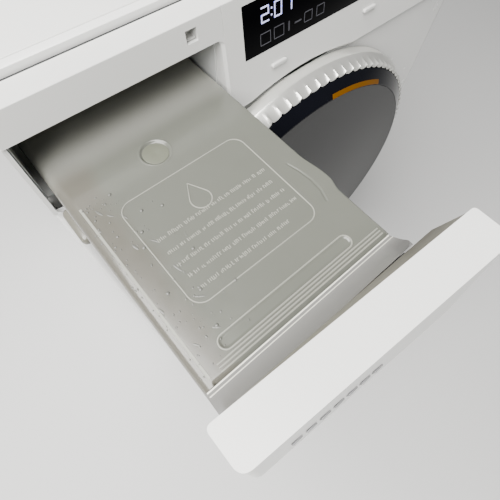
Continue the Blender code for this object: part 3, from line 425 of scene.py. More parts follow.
# ---------------------------------------------------------------- drawer lid
MARK_ROWS = ((-0.1100, -0.1380, -0.0330), (-0.1230, -0.1380, -0.0330), (-0.1350, -0.1385, -0.0330),
             (-0.1470, -0.1370, -0.0330), (-0.1588, -0.1350, -0.0475))
DIMPLE = (-0.0925, -0.0389)
DIMPLE_R = 0.0134
DIMPLE_DEPTH = 0.0016
SLOT = (-0.0890, -0.1990)
SLOT_HALF = (0.0620, 0.0052)
SLOT_RIM_OUT = 0.0004


def distance_to_path(x, y, points):
    best = np.full(x.shape, 1.0)
    for (ax, ay), (bx, by) in zip(points, points[1:]):
        dx, dy = bx - ax, by - ay
        t = np.clip(((x - ax) * dx + (y - ay) * dy) / (dx * dx + dy * dy), 0, 1)
        best = np.minimum(best, np.hypot(x - ax - t * dx, y - ay - t * dy))
    return best


def rounded_box_distance(x, y, centre, half, radius):
    qx = np.abs(x - centre[0]) - half[0] + radius
    qy = np.abs(y - centre[1]) - half[1] + radius
    return np.hypot(np.maximum(qx, 0), np.maximum(qy, 0)) + np.minimum(np.maximum(qx, qy), 0) - radius


def ridge(distance, half_width, soft=0.0005):
    return 1 - smooth_step(half_width - soft, half_width + soft, distance)


def lid_relief(x, y):
    """Height of the pressed shapes over the lid's flat top."""
    dimple = np.hypot(x - DIMPLE[0], y - DIMPLE[1])
    h = 0.0003 * ridge(np.abs(dimple - DIMPLE_R), 0.0008)
    h = h - DIMPLE_DEPTH * (1 - smooth_step(DIMPLE_R - 0.0020, DIMPLE_R, dimple))
    slot_edge = rounded_box_distance(x, y, SLOT, SLOT_HALF, 0.0050)
    h -= 0.0008 * (1 - smooth_step(-0.0018, -0.0004, slot_edge))
    arc = [(-0.0150, -0.1180), (-0.0122, -0.1300), (-0.0110, -0.1420), (-0.0118, -0.1540), (-0.0155, -0.1640)]
    h -= 0.0005 * ridge(distance_to_path(x, y, arc), 0.0007)
    h -= 0.0022 * (1 - smooth_step(TRAY_FRONT, TRAY_FRONT + 0.0042, y)) ** 2
    h += 0.00008 * np.sin(x * 38 + 0.6) * np.sin(y * 31 + 0.4)
    return h


def raised_lines(name, runs, radius, look, body):
    """Fine round ribs that follow flat runs of points on the lid's top."""
    curve = bpy.data.curves.new(name, "CURVE")
    curve.dimensions = "3D"
    curve.bevel_depth = radius
    curve.bevel_resolution = 1
    curve.use_fill_caps = True
    for run in runs:
        spline = curve.splines.new("POLY")
        spline.points.add(len(run) - 1)
        for point, (x, y) in zip(spline.points, run):
            point.co = (*bay(x, y, LID_TOP), 1)
    obj = bpy.data.objects.new(name, curve)
    bpy.context.scene.collection.objects.link(obj)
    bpy.context.view_layer.update()
    mesh = bpy.data.meshes.new_from_object(obj.evaluated_get(bpy.context.evaluated_depsgraph_get()))
    bpy.data.objects.remove(obj)
    made = bpy.data.objects.new(name, mesh)
    bpy.context.scene.collection.objects.link(made)
    return place_piece(made, look, body)


def lid_marks():
    """A rounded frame, a plain drop and five rows of plain ticks."""
    left, right, near, far, r = -0.1470, -0.0285, -0.1700, -0.0670, 0.011
    frame_line = (corner((right - r, far - r), r, 0, 90) + corner((left + r, far - r), r, 90, 180)
                  + corner((left + r, near + r), r, 180, 270) + corner((right - r, near + r), r, 270, 360))
    middle, size = (-0.0910, -0.1000), 0.0088
    drop = corner(middle, size, 150, 390, 20) + [(middle[0], middle[1] + 0.0185)]
    raised_lines("lid_outlines", [frame_line + frame_line[:1], drop + drop[:1]], 0.00052, MARK_AND_HIGHLIGHT, "tray_lid")
    # the light lines round the slot and along the lid's front edge are raised ribs whose bright colour is
    # partly a painted highlight
    r, half = SLOT_HALF[1] + SLOT_RIM_OUT, SLOT_HALF[0] - SLOT_HALF[1]
    rim = (corner((SLOT[0] + half, SLOT[1]), r, -90, 90, 10)
           + corner((SLOT[0] - half, SLOT[1]), r, 90, 270, 10))
    runs = [rim + rim[:1]]
    runs += [[(-0.1600, TRAY_FRONT + y), (-0.0040, TRAY_FRONT + y)] for y in (0.0034, 0.0060, 0.0086)]
    raised_lines("slot_rims", runs, 0.00060, MARK_AND_HIGHLIGHT, "tray_lid")
    # a light bead along the left roll: a painted highlight for the bright line on the rolled edge
    highlight_bead = raised_lines("roll_highlight_bead", [[(-0.1685, -0.2110), (-0.1685, -0.0500)]], 0.00170, MARK_AND_HIGHLIGHT, "tray_lid")
    highlight_bead.data.transform(Matrix.Translation((0, 0, -0.0012)))
    draw = np.random.RandomState(5)
    ticks = []
    for row, start, end in MARK_ROWS:
        at = start
        while at < end - 0.004:
            for _ in range(draw.randint(2, 9)):
                low, high = draw.uniform(-0.0016, -0.0011), draw.uniform(0.0006, 0.0019)
                ticks.append([(at, row + low), (at + draw.uniform(-0.0002, 0.0002), row + high)])
                if draw.uniform() < 0.45:
                    level = row + draw.choice([low, high, 0.0])
                    ticks.append([(at, level), (at + 0.0011, level)])
                at += draw.uniform(0.0013, 0.0019)
                if at > end:
                    break
            at += 0.0016
    raised_lines("lid_ticks", ticks, 0.00036, MARK_AND_HIGHLIGHT, "tray_lid")


def tab_bulge(y):
    """How far the finger tab stands out of the lid's right edge."""
    rise = smooth_step(-0.1640, -0.1500, y) * (1 - smooth_step(-0.1450, -0.1160, y))
    return TAB_OUT * rise


def drawer_lid():
    rear, skirt, edge = 0.0500, -0.0800, 0.0016
    path = [(0.0, z) for z in np.linspace(skirt, LID_TOP - edge, 12)]
    path += [(edge * (cos(t) - 1), LID_TOP - edge + edge * sin(t)) for t in np.linspace(0, pi / 2, 6)[1:]]
    path += [(x, LID_TOP) for x in np.linspace(-edge, LID_LEFT, 236)[1:]]
    path += [(LID_LEFT - LID_ROLL * sin(t), LID_TOP - LID_ROLL + LID_ROLL * cos(t))
             for t in np.linspace(0, pi / 2, 16)[1:]]
    path += [(LID_LEFT - LID_ROLL, z) for z in np.linspace(LID_TOP - LID_ROLL, skirt, 7)[1:]]
    across = np.array(path)
    along = np.concatenate([np.linspace(TRAY_FRONT, 0.0, 310), np.linspace(0.0, rear, 26)[1:]])
    gx, gy = np.meshgrid(across[:, 0], along, indexing="ij")
    gz = np.repeat(across[:, 1][:, None], len(along), axis=1)
    flat = smooth_step(-0.1690, -0.1670, gx) * (gz > LID_TOP - 0.0002)
    gz = gz + lid_relief(gx, gy) * flat
    gx = gx + tab_bulge(gy) * smooth_step(-0.0120, -0.0010, gx)
    rows, columns = gx.shape
    verts = [bay(x, y, z) for x, y, z in zip(gx.ravel(), gy.ravel(), gz.ravel())]
    faces = [(i * columns + j, i * columns + j + 1, (i + 1) * columns + j + 1, (i + 1) * columns + j)
             for i in range(rows - 1) for j in range(columns - 1)]
    lid = from_lists("lid_shell", verts, faces, outward=False)
    if lid.data.polygons[(rows // 2) * (columns - 1)].normal.z < 0:
        lid.data.flip_normals()
    wall = lid.modifiers.new("wall", "SOLIDIFY")
    wall.thickness = 0.0020
    wall.offset = -1.0
    settle(lid)
    for index, x in enumerate((-0.119, -0.057)):
        low, high = bay(x - 0.006, 0.0475, -0.0716), bay(x + 0.006, 0.0590, -0.0664)
        lug = soften(box("lid_lug_%d" % (index + 1), low, high), 0.0015)
        hole = lathe("hole", [(0.0014, 0.0), (0.0, 0.0), (0.0, 0.02), (0.0014, 0.02)],
                     bay(x - 0.010, ROD_Y, ROD_Z), 24, (1, 0, 0))
        place_piece(carve(lug, hole), MILKY, "tray_lid")
    place_piece(lid, MILKY, "tray_lid", "drawer_lid", crease=60)
    spot = bay(DIMPLE[0], DIMPLE[1], LID_TOP - DIMPLE_DEPTH)
    disc_r, disc_top, disc_low = DIMPLE_R - 0.0022, 0.0004, -0.0010
    disc = fillet([(0, disc_top), (disc_r, disc_top), (disc_r, disc_low), (0, disc_low)], 0.0003)
    place_piece(lathe("dimple_floor", disc, spot, 64, (0, 0, 1)), DIMPLE_TINT, "tray_lid")


def lid_height(x):
    """Height of the lid's plain outside at one place across it."""
    out = max(0.0, LID_LEFT - x)
    return LID_TOP - LID_ROLL + sqrt(max(0.0, LID_ROLL ** 2 - out ** 2))


def droplets():
    """Small drops, a few large ones and long smears of water, mostly on the lid's left part."""
    draw = np.random.RandomState(11)
    bm = bmesh.new()

    def drop(x, y, radius, stretch, turn, flat):
        made = bmesh.ops.create_icosphere(bm, subdivisions=3, radius=radius)["verts"]
        shape = Matrix.Rotation(turn, 4, "Z") @ Matrix.Diagonal((stretch, 1.0, flat, 1.0))
        spot = Matrix.Translation(bay(x, y, lid_height(x) + 0.0001))
        bmesh.ops.transform(bm, matrix=spot @ shape, verts=made)

    count = 0
    while count < 150:
        x, y = draw.uniform(-0.1730, -0.1080), draw.uniform(-0.2080, -0.0450)
        if draw.uniform() > np.exp(-(x + 0.1730) / 0.022):
            continue
        drop(x, y, draw.uniform(0.0003, 0.0008), draw.uniform(0.8, 1.6), draw.uniform(0, pi), 0.5)
        count += 1
    for _ in range(12):
        x, y = -0.1690 + 0.035 * draw.uniform() ** 2, draw.uniform(-0.2000, -0.0600)
        drop(x, y, draw.uniform(0.0006, 0.0011), draw.uniform(2.5, 6.0), draw.uniform(1.7, 2.6), 0.15)
    for x, y in ((-0.1440, -0.0520), (-0.1330, -0.0800), (-0.1180, -0.0860), (-0.1430, -0.0960),
                 (-0.1490, -0.1080), (-0.1220, -0.1310), (-0.1370, -0.1600), (-0.1140, -0.1700),
                 (-0.1440, -0.1870), (-0.1560, -0.1480)):
        drop(x, y, 0.0013, 1.1, 0.5, 0.6)
    place_piece(from_bmesh("lid_droplets", bm), WATER, "tray_lid")


# ---------------------------------------------------------------- rest of the drawer
def drawer_tray():
    rim = -0.0738
    tray = box("tray_shell", bay(-0.1740, TRAY_FRONT + 0.0003, DRAWER_BOTTOM), bay(-0.0030, 0.0550, rim))
    soften(tray, 0.003, 3)
    floor, back, front = DRAWER_BOTTOM + 0.0020, 0.0526, TRAY_FRONT + 0.0025
    for name, left, right in (("detergent_room", -0.1718, -0.0640), ("softener_room", -0.0618, -0.0052)):
        room = box(name, bay(left, front, floor), bay(right, back, rim + 0.02))
        carve(tray, soften(room, 0.004, 3))
    boss = soften(box("boss", bay(-0.1820, -0.0650, -0.0912), bay(-0.1720, -0.0270, -0.0804)), 0.0050, 6)
    carve(tray, boss, operation="UNION")
    for x in (-0.150, -0.088, -0.026):
        lug = box("lug", bay(x - 0.004, 0.0528, -0.0760), bay(x + 0.004, 0.0595, -0.0660))
        carve(tray, soften(lug, 0.001, 2), operation="UNION")
    place_piece(tray, MILKY_WALL, "drawer", "drawer_tray")
    rod = lathe("lid_rod", fillet([(0, 0.150), (0.0011, 0.150), (0.0011, 0.0), (0, 0.0)], 0.0004),
                bay(-0.165, ROD_Y, ROD_Z), 20, (1, 0, 0))
    place_piece(rod, STEEL, "drawer")


def drawer_cove():
    near, low, high = -0.2348, DRAWER_BOTTOM + 0.001, -0.0355
    hollow = []
    for t in np.linspace(0, pi / 2, 28):
        reach, rise = (sin(t) + 2 * t / pi) / 2, (cos(t) + 1 - 2 * t / pi) / 2
        hollow.append((TRAY_FRONT - 0.0003 - 0.0184 * reach, high - 0.0300 * rise))
    outline = [(TRAY_FRONT - 0.0001, low)] + hollow + [(near + 0.0004, high), (near + 0.0004, low)]
    outline = [(CONSOLE_Y + y, CONSOLE_TOP + z) for y, z in outline]
    riser = prism("cove_riser", outline, "x", (BAY_X - 0.1765, BAY_X - 0.0015))
    end, top = BAY_X - 0.0015, CONSOLE_TOP + high
    trim = [(end + 0.005, top - 0.028), (end + 0.005, top + 0.005), (end - 0.018, top + 0.005),
            (end - 0.018, top), (end - 0.0045, top - 0.0115), (end, top - 0.028)]
    trim = fillet(trim, [0, 0, 0, 0.004, 0.015, 0], 8)
    carve(riser, prism("cove_corner", trim, "y", (depth(-0.25), depth(-0.20))))
    place_piece(soften(riser, 0.0005, 2), COVE, "drawer", "drawer_cove")
    # a cream strip at the foot of the cove riser: its light colour is a painted highlight along the lid's
    # front edge
    foot = [(TRAY_FRONT - 0.0004, -0.0672), (TRAY_FRONT - 0.0004, -0.0652), (TRAY_FRONT - 0.0030, -0.0640),
            (TRAY_FRONT - 0.0042, -0.0618), (TRAY_FRONT - 0.0046, -0.0672)]
    foot = [(CONSOLE_Y + y, CONSOLE_TOP + z) for y, z in foot]
    foot = fillet(foot, [0.0003, 0.0008, 0.002, 0.0002, 0.0003], 5)
    strip = prism("cove_highlight_strip", foot, "x", (BAY_X - 0.1750, BAY_X - 0.0018))
    place_piece(soften(strip, 0.0004, 2), HIGHLIGHT_CREAM, "drawer")
    # a dark strip in the gap between the cove riser and the backplate: painted shade standing for the
    # shadowed gap
    shade_strip = box("riser_gap_shade", bay(-0.1740, -0.2357, -0.0500), bay(-0.0240, -0.2346, -0.0366))
    place_piece(soften(shade_strip, 0.0003, 2), DARK_RUBBER, "drawer")


def front_back_y(x):
    return FRONT_BACK_Y - FRONT_BACK_SLOPE * (x - FRONT_LEFT)


def front_near_y(x):
    return FRONT_NEAR_Y - FRONT_NEAR_SLOPE * (x - FRONT_LEFT)


def lean(obj, top):
    for vert in obj.data.vertices:
        vert.co.y -= FACE_LEAN * (CONSOLE_TOP + top - vert.co.z)
    return obj


def drawer_front():
    top, wall, r = -0.002, 0.0028, 0.0070
    left, right = FRONT_LEFT, FRONT_RIGHT
    outline = [(left, front_back_y(left)), (left, front_near_y(left)), (right, front_near_y(right)),
               (right, front_back_y(right))]
    outline = fillet([(BAY_X + x, CONSOLE_Y + y) for x, y in outline], [0.0035, r, r, 0.0035], 8)
    z = (CONSOLE_TOP + DRAWER_BOTTOM, CONSOLE_TOP + top)
    shell = lean(prism("front_shell", outline, "z", z), top)
    low, turn_r, edge = z[0], 0.010, BAY_X + left
    trim = [(edge + turn_r, low - 0.001), (edge - 0.001, low - 0.001), (edge - 0.001, low + turn_r)]
    trim += corner((edge + turn_r, low + turn_r), turn_r, 180, 270, 12)
    carve(shell, prism("front_trim", trim, "y", (depth(-0.32), depth(-0.20))))
    soften(shell, 0.0024, 4, 50)
    inner = [(left + 0.008, -0.2200), (left + 0.008, front_near_y(left) + 2 * wall),
             (right - wall, front_near_y(right) + 2 * wall), (right - wall, -0.2200)]
    inner = [(BAY_X + x, CONSOLE_Y + y) for x, y in inner]
    carve(shell, lean(prism("front_hollow", inner, "z", (z[0] + wall, z[1] - wall)), top))
    place_piece(shell, SATIN, "drawer", "drawer_front", even=True)
    marks = bmesh.new()
    for i in range(7):
        x, drop = -0.1520 + 0.0104 * i, 0.050
        y = front_near_y(x) - FACE_LEAN * (drop + top)
        made = bmesh.ops.create_cube(marks, size=1.0)["verts"]
        shape = Matrix.Translation(bay(x, y, -drop)) @ Matrix.Diagonal((0.0074, 0.0011, 0.0092, 1.0))
        bmesh.ops.transform(marks, matrix=shape, verts=made)
    ribs = soften(from_bmesh("front_ribs", marks), 0.0004, 2)
    place_piece(ribs, RIB_GREY, "drawer")


def drawer_backplate():
    top, knee, low = -0.0052, -0.0370, -0.0883
    rings = []
    for x in (FRONT_LEFT + 0.0032, FRONT_RIGHT - 0.0032):
        back = front_back_y(x)
        rings.append([bay(x, y, z) for y, z in (
            (back - 0.006, top), (back, top), (-0.2359, knee), (-0.2359 - FACE_LEAN * (knee - low), low),
            (back - FACE_LEAN * (top - low) - 0.006, low))])
    faces = [(0, 1, 2, 3, 4), (5, 6, 7, 8, 9)] + [(i, (i + 1) % 5, 5 + (i + 1) % 5, 5 + i) for i in range(5)]
    plate = from_lists("backplate_shell", rings[0] + rings[1], faces)
    place_piece(soften(plate, 0.0006, 2), BEIGE, "drawer", "drawer_backplate")


# ---------------------------------------------------------------- console
WINDOW_X = (-0.0812, 0.1720)
WINDOW_DROP = (0.0081, 0.0545)
KNOB_X, KNOB_DROP = 0.235, 0.045
KEYS = {"button_left": (-0.0394, 0.0720), "button_right": (0.0983, 0.0685)}


def slim_key(name, x, drop, half, out):
    outline = (corner((half[0] - half[1], 0), half[1], -90, 90, 10)
               + corner((half[1] - half[0], 0), half[1], 90, 270, 10))
    key = prism(name, outline, "z", out)
    turn = FACE_NORMAL.to_track_quat("Z", "Y").to_matrix().to_4x4()
    key.data.transform(Matrix.Translation((x, face_y(drop), CONSOLE_TOP - drop)) @ turn)
    return key


def console_shape(name, inset, x, rear):
    low, top = CONSOLE_TOP - CONSOLE_HEIGHT + inset, CONSOLE_TOP - inset
    outline = [(face_y(CONSOLE_TOP - low, inset), low), (face_y(CONSOLE_TOP - top, inset), top),
               (rear, top), (rear, low)]
    return prism(name, outline, "x", x)


def console():
    wall = 0.003
    body = console_shape("console_shell", 0.0, (-HALF_WIDTH, HALF_WIDTH), depth(CONSOLE_DEPTH))
    soften(body, 0.0010, 3)
    inside = HALF_WIDTH - wall
    carve(body, console_shape("hollow", wall, (-inside, inside), depth(0.030)))
    right, top, r = BAY_X + 0.0065, CONSOLE_TOP - BAR_HEIGHT, 0.0065
    low = CONSOLE_TOP - 0.110
    opening = [(-0.2955, low), (-0.2955, top)] + corner((right - r, top - r), r, 90, 0) + [(right, low)]
    carve(body, prism("opening", opening, "y", (depth(-0.06), depth(0.04))))
    seam_x, turn_r = BAY_X + 0.010, 0.0085
    reach, sink = 0.0060, 0.0025
    plan = [(-0.310, -0.04), (-0.310, sink), (seam_x - reach, sink), (seam_x - reach / 2, sink / 2),
            (seam_x, 0.0), (seam_x + 0.001, -0.04)]
    plan = fillet([(x, CONSOLE_Y + FACE_START + y) for x, y in plan], [0, 0, 0.006, 0, 0.006, 0], 6)
    step = lean(prism("step", plan, "z", (CONSOLE_TOP - 0.120, CONSOLE_TOP - BAR_HEIGHT)), 0.0)
    trim = [(seam_x + 0.001, top - turn_r), (seam_x + 0.001, top + 0.001), (seam_x - turn_r, top + 0.001)]
    trim += corner((seam_x - turn_r, top - turn_r), turn_r, 90, 0, 12)
    carve(step, prism("step_corner", trim, "y", (depth(-0.07), depth(0.05))))
    carve(body, step)
    seam_sides, seam_drops = (seam_x - 0.0004, seam_x + 0.0004), (-0.001, BAR_HEIGHT - 0.0005)
    carve(body, leaning_slab("seam", seam_sides, seam_drops, (-0.04, 0.0005)))
    rim = [(DOOR_R, -0.030), (DOOR_R, 0.0040), (DOOR_R + 0.0215, 0.0040), (DOOR_R + 0.0215, -0.030)]
    backing = lathe("backing", rim, steps=240)
    limits = console_shape("limits", 0.0016, (-HALF_WIDTH + 0.002, HALF_WIDTH - 0.002), depth(0.020))
    carve(backing, limits, operation="INTERSECT")
    carve(body, backing, operation="UNION")
    scoop_r = DOOR_R + 0.0013
    scoop = [(0, 0.018), (scoop_r, 0.018)]
    scoop += [(scoop_r + 0.0165 * (1 - cos(t)), -0.0110 - 0.0080 * sin(t))
              for t in np.linspace(0, pi / 2, 17)]
    scoop += [(0.30, -0.0192), (0.30, -0.06), (0, -0.06)]
    carve(body, lathe("scoop", scoop, steps=240))
    window = [(x, CONSOLE_TOP - d) for x, d in ((WINDOW_X[0], WINDOW_DROP[0]), (WINDOW_X[1], WINDOW_DROP[0]),
                                                (WINDOW_X[1], WINDOW_DROP[1]), (WINDOW_X[0], WINDOW_DROP[1]))]
    carve(body, prism("window", fillet(window, 0.0012, 3), "y", (depth(-0.03), depth(0.006))))
    notch_low, notch_high = (-0.0266, -0.0169), (-0.0155, -0.0066)
    liner = box("liner", bay(notch_low[0] - 0.001, 0.0000, notch_low[1] - 0.001),
                bay(notch_high[0] + 0.001, 0.0085, notch_high[1] + 0.001))
    carve(body, liner, operation="UNION")
    notch = box("notch", bay(notch_low[0], -0.02, notch_low[1]), bay(notch_high[0], 0.0075, notch_high[1]))
    carve(body, notch)
    wall_drop, wall_depth = 0.0950, depth(0.012)
    wall_top = CONSOLE_TOP - BAR_HEIGHT + 0.002
    end = [(face_y(BAR_HEIGHT - 0.002, 0.003), wall_top), (wall_depth, wall_top),
           (wall_depth, CONSOLE_TOP - wall_drop), (face_y(wall_drop, 0.003), CONSOLE_TOP - wall_drop)]
    carve(body, prism("opening_wall", end, "x", (right, right + 0.0024)), operation="UNION")
    knob_place = Vector((KNOB_X, face_y(KNOB_DROP), CONSOLE_TOP - KNOB_DROP))
    shaft_hole = [(0.0036, -0.01), (0, -0.01), (0, 0.01), (0.0036, 0.01)]
    carve(body, lathe("hole", shaft_hole, knob_place, 24, FACE_NORMAL))
    for name, (x, drop) in KEYS.items():
        carve(body, slim_key("key_hole", x, drop, (0.0103, 0.0024), (-0.010, 0.010)))
        key = soften(slim_key(name + "_cap", x, drop, (0.0100, 0.0021), (-0.0045, 0.0030)), 0.0011, 4, 60)
        place_piece(key, SATIN, BODY_OF[name], name)
    place_piece(body, SATIN, "cabinet", "console", crease=25, even=True)
    knob = fillet([(0, 0.0165), (0.0225, 0.0165), (0.0248, 0.0145), (0.0270, 0.0010), (0.0032, 0.0010),
                   (0.0032, -0.0060), (0, -0.0060)], [0, 0.002, 0.001, 0.0006, 0, 0.0005, 0], 4)

    def ribbed(radius, height, angle):
        wave = 0.0004 * max(0.0, sin(36 * angle)) if 0.002 < height < 0.0145 and radius > 0.02 else 0.0
        return radius - wave, height

    dial = lathe("dial_cap", knob, knob_place, 288, FACE_NORMAL, ribbed)
    groove = box("groove", (KNOB_X - 0.0008, depth(-0.060), knob_place.z + 0.012),
                 (KNOB_X + 0.0008, face_y(KNOB_DROP) - 0.0158, knob_place.z + 0.0235))
    place_piece(carve(dial, groove), SATIN, "dial", "knob")


def display():
    gap = 0.0003
    x = (WINDOW_X[0] + gap, WINDOW_X[1] - gap)
    pane = leaning_slab("display_pane", x, (WINDOW_DROP[0] + gap, WINDOW_DROP[1] - gap), (-0.0002, 0.0024))
    place_piece(soften(pane, 0.0003, 2), SCREEN, "cabinet", "display_window")
    segments = {"2": "abged", "0": "abcdef", "1": "bc"}
    bars = {"a": (0, 1, 1, 1), "b": (1, 0.5, 1, 1), "c": (1, 0, 1, 0.5), "d": (0, 0, 1, 0),
            "e": (0, 0, 0, 0.5), "f": (0, 0.5, 0, 1), "g": (0, 0.5, 1, 0.5)}
    digits = bmesh.new()

    def bar(bm, x0, z0, x1, z1, half, lift=0.0004):
        middle_drop = -(z0 + z1) / 2
        size = Matrix.Diagonal((abs(x1 - x0) + 2 * half, 0.0002, abs(z1 - z0) + 2 * half, 1.0))
        spot = Vector((BAY_X + (x0 + x1) / 2, face_y(middle_drop) - lift, CONSOLE_TOP - middle_drop))
        shear = Matrix.Identity(4)
        shear[1][2] = FACE_LEAN
        made = bmesh.ops.create_cube(bm, size=1.0)["verts"]
        bmesh.ops.transform(bm, matrix=Matrix.Translation(spot) @ shear @ size, verts=made)

    left, wide, low, tall, half = 0.0520, 0.0082, -0.0282, 0.0120, 0.00060
    for start, digit in ((left, "2"), (left + 0.0158, "0"), (left + 0.0285, "1")):
        for name in segments[digit]:
            a, b, c, d = bars[name]
            bar(digits, start + a * wide, low + b * tall, start + c * wide, low + d * tall, half)
    for z in (-0.0195, -0.0250):
        bar(digits, left + 0.0120, z, left + 0.0120, z, 0.0007)
    place_piece(from_bmesh("display_digits", digits), DIGIT, "cabinet")
    icons, icon_z = bmesh.new(), -0.0425
    for x, wide, tall in ((0.0560, 0.0062, 0.0050), (0.0730, 0.0062, 0.0050), (0.0860, 0.0006, 0.0040),
                          (0.0980, 0.0045, 0.0003), (0.1120, 0.0052, 0.0044), (0.1290, 0.0052, 0.0044)):
        for x0, z0, x1, z1 in ((-wide, -tall, wide, -tall), (-wide, tall, wide, tall),
                               (-wide, -tall, -wide, tall), (wide, -tall, wide, tall)):
            bar(icons, x + x0, icon_z + z0, x + x1, icon_z + z1, 0.00035, 0.0003)
    place_piece(from_bmesh("display_icons", icons), ICON, "cabinet")


# ---------------------------------------------------------------- door
def door():
    hinge_cut = ((-0.2700, depth(-0.0278), DOOR_Z - 0.0465), (-0.2320, depth(-0.0100), DOOR_Z + 0.0465))
    trim = [(0.2618, -0.0150), (0.2618, -0.0280), (0.2602, -0.0304), (0.2570, -0.0350), (0.2506, -0.0430),
            (0.2499, -0.0430), (0.2499, -0.0400), (0.2545, -0.0330), (0.2580, -0.0280), (0.2580, -0.0150)]
    trim = fillet(trim, [0.0006, 0.0030, 0.0040, 0.0060, 0.0006, 0.0004, 0.0004, 0.001, 0.001, 0.0006], 4)
    teeth = 112

    def notched(radius, height, angle):
        if radius < 0.2530 and height < -0.0380:
            t = (angle * teeth / (2 * pi)) % 1.0 * 2 - 1
            radius += 0.0042 * (1 - sqrt(max(0.0, 1 - t * t)))
        return radius, height

    ring = lathe("trim_ring", trim, steps=teeth * 8, change=notched)
    carve(ring, box("notch", *hinge_cut))
    place_piece(ring, SILVER, "door", "door_trim_ring")
    black = [(0.2495, -0.0340), (0.2495, -0.0432), (0.2480, -0.0442), (0.2335, -0.0522), (0.2325, -0.0525),
             (0.2325, -0.0470), (0.2400, -0.0430), (0.2400, -0.0340)]
    black = fillet(black, [0, 0.001, 0.002, 0.003, 0.0004, 0, 0, 0], 4)
    place_piece(lathe("black_ring", black, steps=256), BLACK, "door", "door_black_ring")
    cover = [(0, -0.0500)] + [(0.2321 * t, -0.0500 - 0.0024 * t ** 6) for t in np.linspace(0.1, 1, 14)]
    cover += [(r, y + 0.0030) for r, y in reversed(cover)]
    place_piece(lathe("cover_disc", cover, steps=256), SMOKE, "door", "door_cover")
    accent = bmesh.new()
    section = [(0.2336, -0.0530), (0.2385, -0.0503), (0.2388, -0.0507), (0.2338, -0.0535)]
    rings = []
    for k in range(49):
        angle = radians(62 + 24 * k / 48)
        rings.append([accent.verts.new(DOOR_CENTRE + Vector((r * cos(angle), y, r * sin(angle))))
                      for r, y in section])
    for a, b in zip(rings, rings[1:]):
        for i in range(4):
            accent.faces.new((a[i], a[(i + 1) % 4], b[(i + 1) % 4], b[i]))
    accent.faces.new(rings[0])
    accent.faces.new(rings[-1])
    place_piece(from_bmesh("accent_arc", accent), AMBER, "door", "door_accent")
    inner = [(0.2576, -0.0262), (0.2576, -0.0152), (0.1580, -0.0152), (0.1580, -0.0180), (0.2400, -0.0180),
             (0.2400, -0.0336), (0.2440, -0.0336), (0.2440, -0.0180), (0.2546, -0.0180), (0.2546, -0.0262)]
    inner = fillet(inner, [0.0004, 0.002, 0.001, 0.0004, 0.0006, 0.0004, 0.0004, 0.0006, 0.0006, 0.0004], 3)
    plate = lathe("inner_ring", inner, steps=192)
    carve(plate, box("notch", *hinge_cut))
    hook = box("hook", (0.2225, depth(-0.0160), DOOR_Z - 0.010), (0.2285, depth(0.0120), DOOR_Z + 0.010))
    claw = box("claw", (0.2180, depth(0.0000), DOOR_Z - 0.02), (0.2262, depth(0.0070), DOOR_Z + 0.02))
    hook = soften(carve(hook, claw), 0.0006, 2)
    place_piece(hook, ZINC, "door")
    place_piece(plate, INNER, "door", "door_inner_frame")
    bowl = [(0, 0.0720), (0.060, 0.0700), (0.105, 0.0620), (0.135, 0.0400), (0.150, 0.0050),
            (0.1545, -0.0183), (0.1680, -0.0183), (0.1680, -0.0225), (0.1500, -0.0225), (0.1455, 0.0030),
            (0.1310, 0.0360), (0.1020, 0.0570), (0.060, 0.0650), (0, 0.0670)]
    soft = [0, 0.05, 0.03, 0.03, 0.03, 0.001, 0.001, 0.001, 0.003, 0.03, 0.03, 0.03, 0.05, 0]
    place_piece(lathe("glass_bowl", fillet(bowl, soft, 6), steps=192), GLASS, "door", "door_glass", crease=60)


def gasket():
    bellows = [(0.1715, -0.0140), (0.1715, -0.0124), (0.1675, -0.0124), (0.1675, 0.0080), (0.1850, 0.0200),
               (0.1700, 0.0340), (0.1898, 0.0450), (0.1898, 0.0560), (0.1868, 0.0560), (0.1868, 0.0470),
               (0.1655, 0.0350), (0.1795, 0.0205), (0.1640, 0.0110), (0.1590, -0.0100), (0.1590, -0.0140)]
    soft = [0.0005, 0.0005, 0.0005, 0.006, 0.006, 0.006, 0.003, 0.0005, 0.0005, 0.003, 0.006, 0.006,
            0.004, 0.001, 0.0008]
    ring = lathe("gasket_bellows", fillet(bellows, soft, 5), steps=192)
    place_piece(ring, RUBBER, "cabinet", "door_gasket")


# ---------------------------------------------------------------- cabinet
def top_plate():
    low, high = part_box("top_plate")
    seam = low.y + 0.0080
    near = low.y + 0.0008
    edge = [(near, low.z), (near, high.z - 0.0018), (seam - 0.0004, high.z - 0.0004), (seam - 0.0004, low.z)]
    edge = prism("top_edge", fillet(edge, [0.0002, 0.0008, 0.0004, 0.0002], 4), "x", (low.x, high.x))
    place_piece(soften(edge, 0.0005, 2, 60), PAINT, "cabinet")
    # a dark strip in the gap between the console and the top plate: painted shade standing for the shadowed
    # gap
    shade_strip = box("top_gap_shade", (low.x + 0.004, depth(CONSOLE_DEPTH + 0.0001), CONSOLE_TOP - 0.0060),
               (high.x - 0.004, near - 0.0001, CONSOLE_TOP - 0.0008))
    place_piece(soften(shade_strip, 0.0003, 2), DARK_RUBBER, "cabinet")
    low.y = seam
    place_piece(soften(box("top_board", low, high), 0.0012, 4), SATIN, "cabinet", "top_plate")


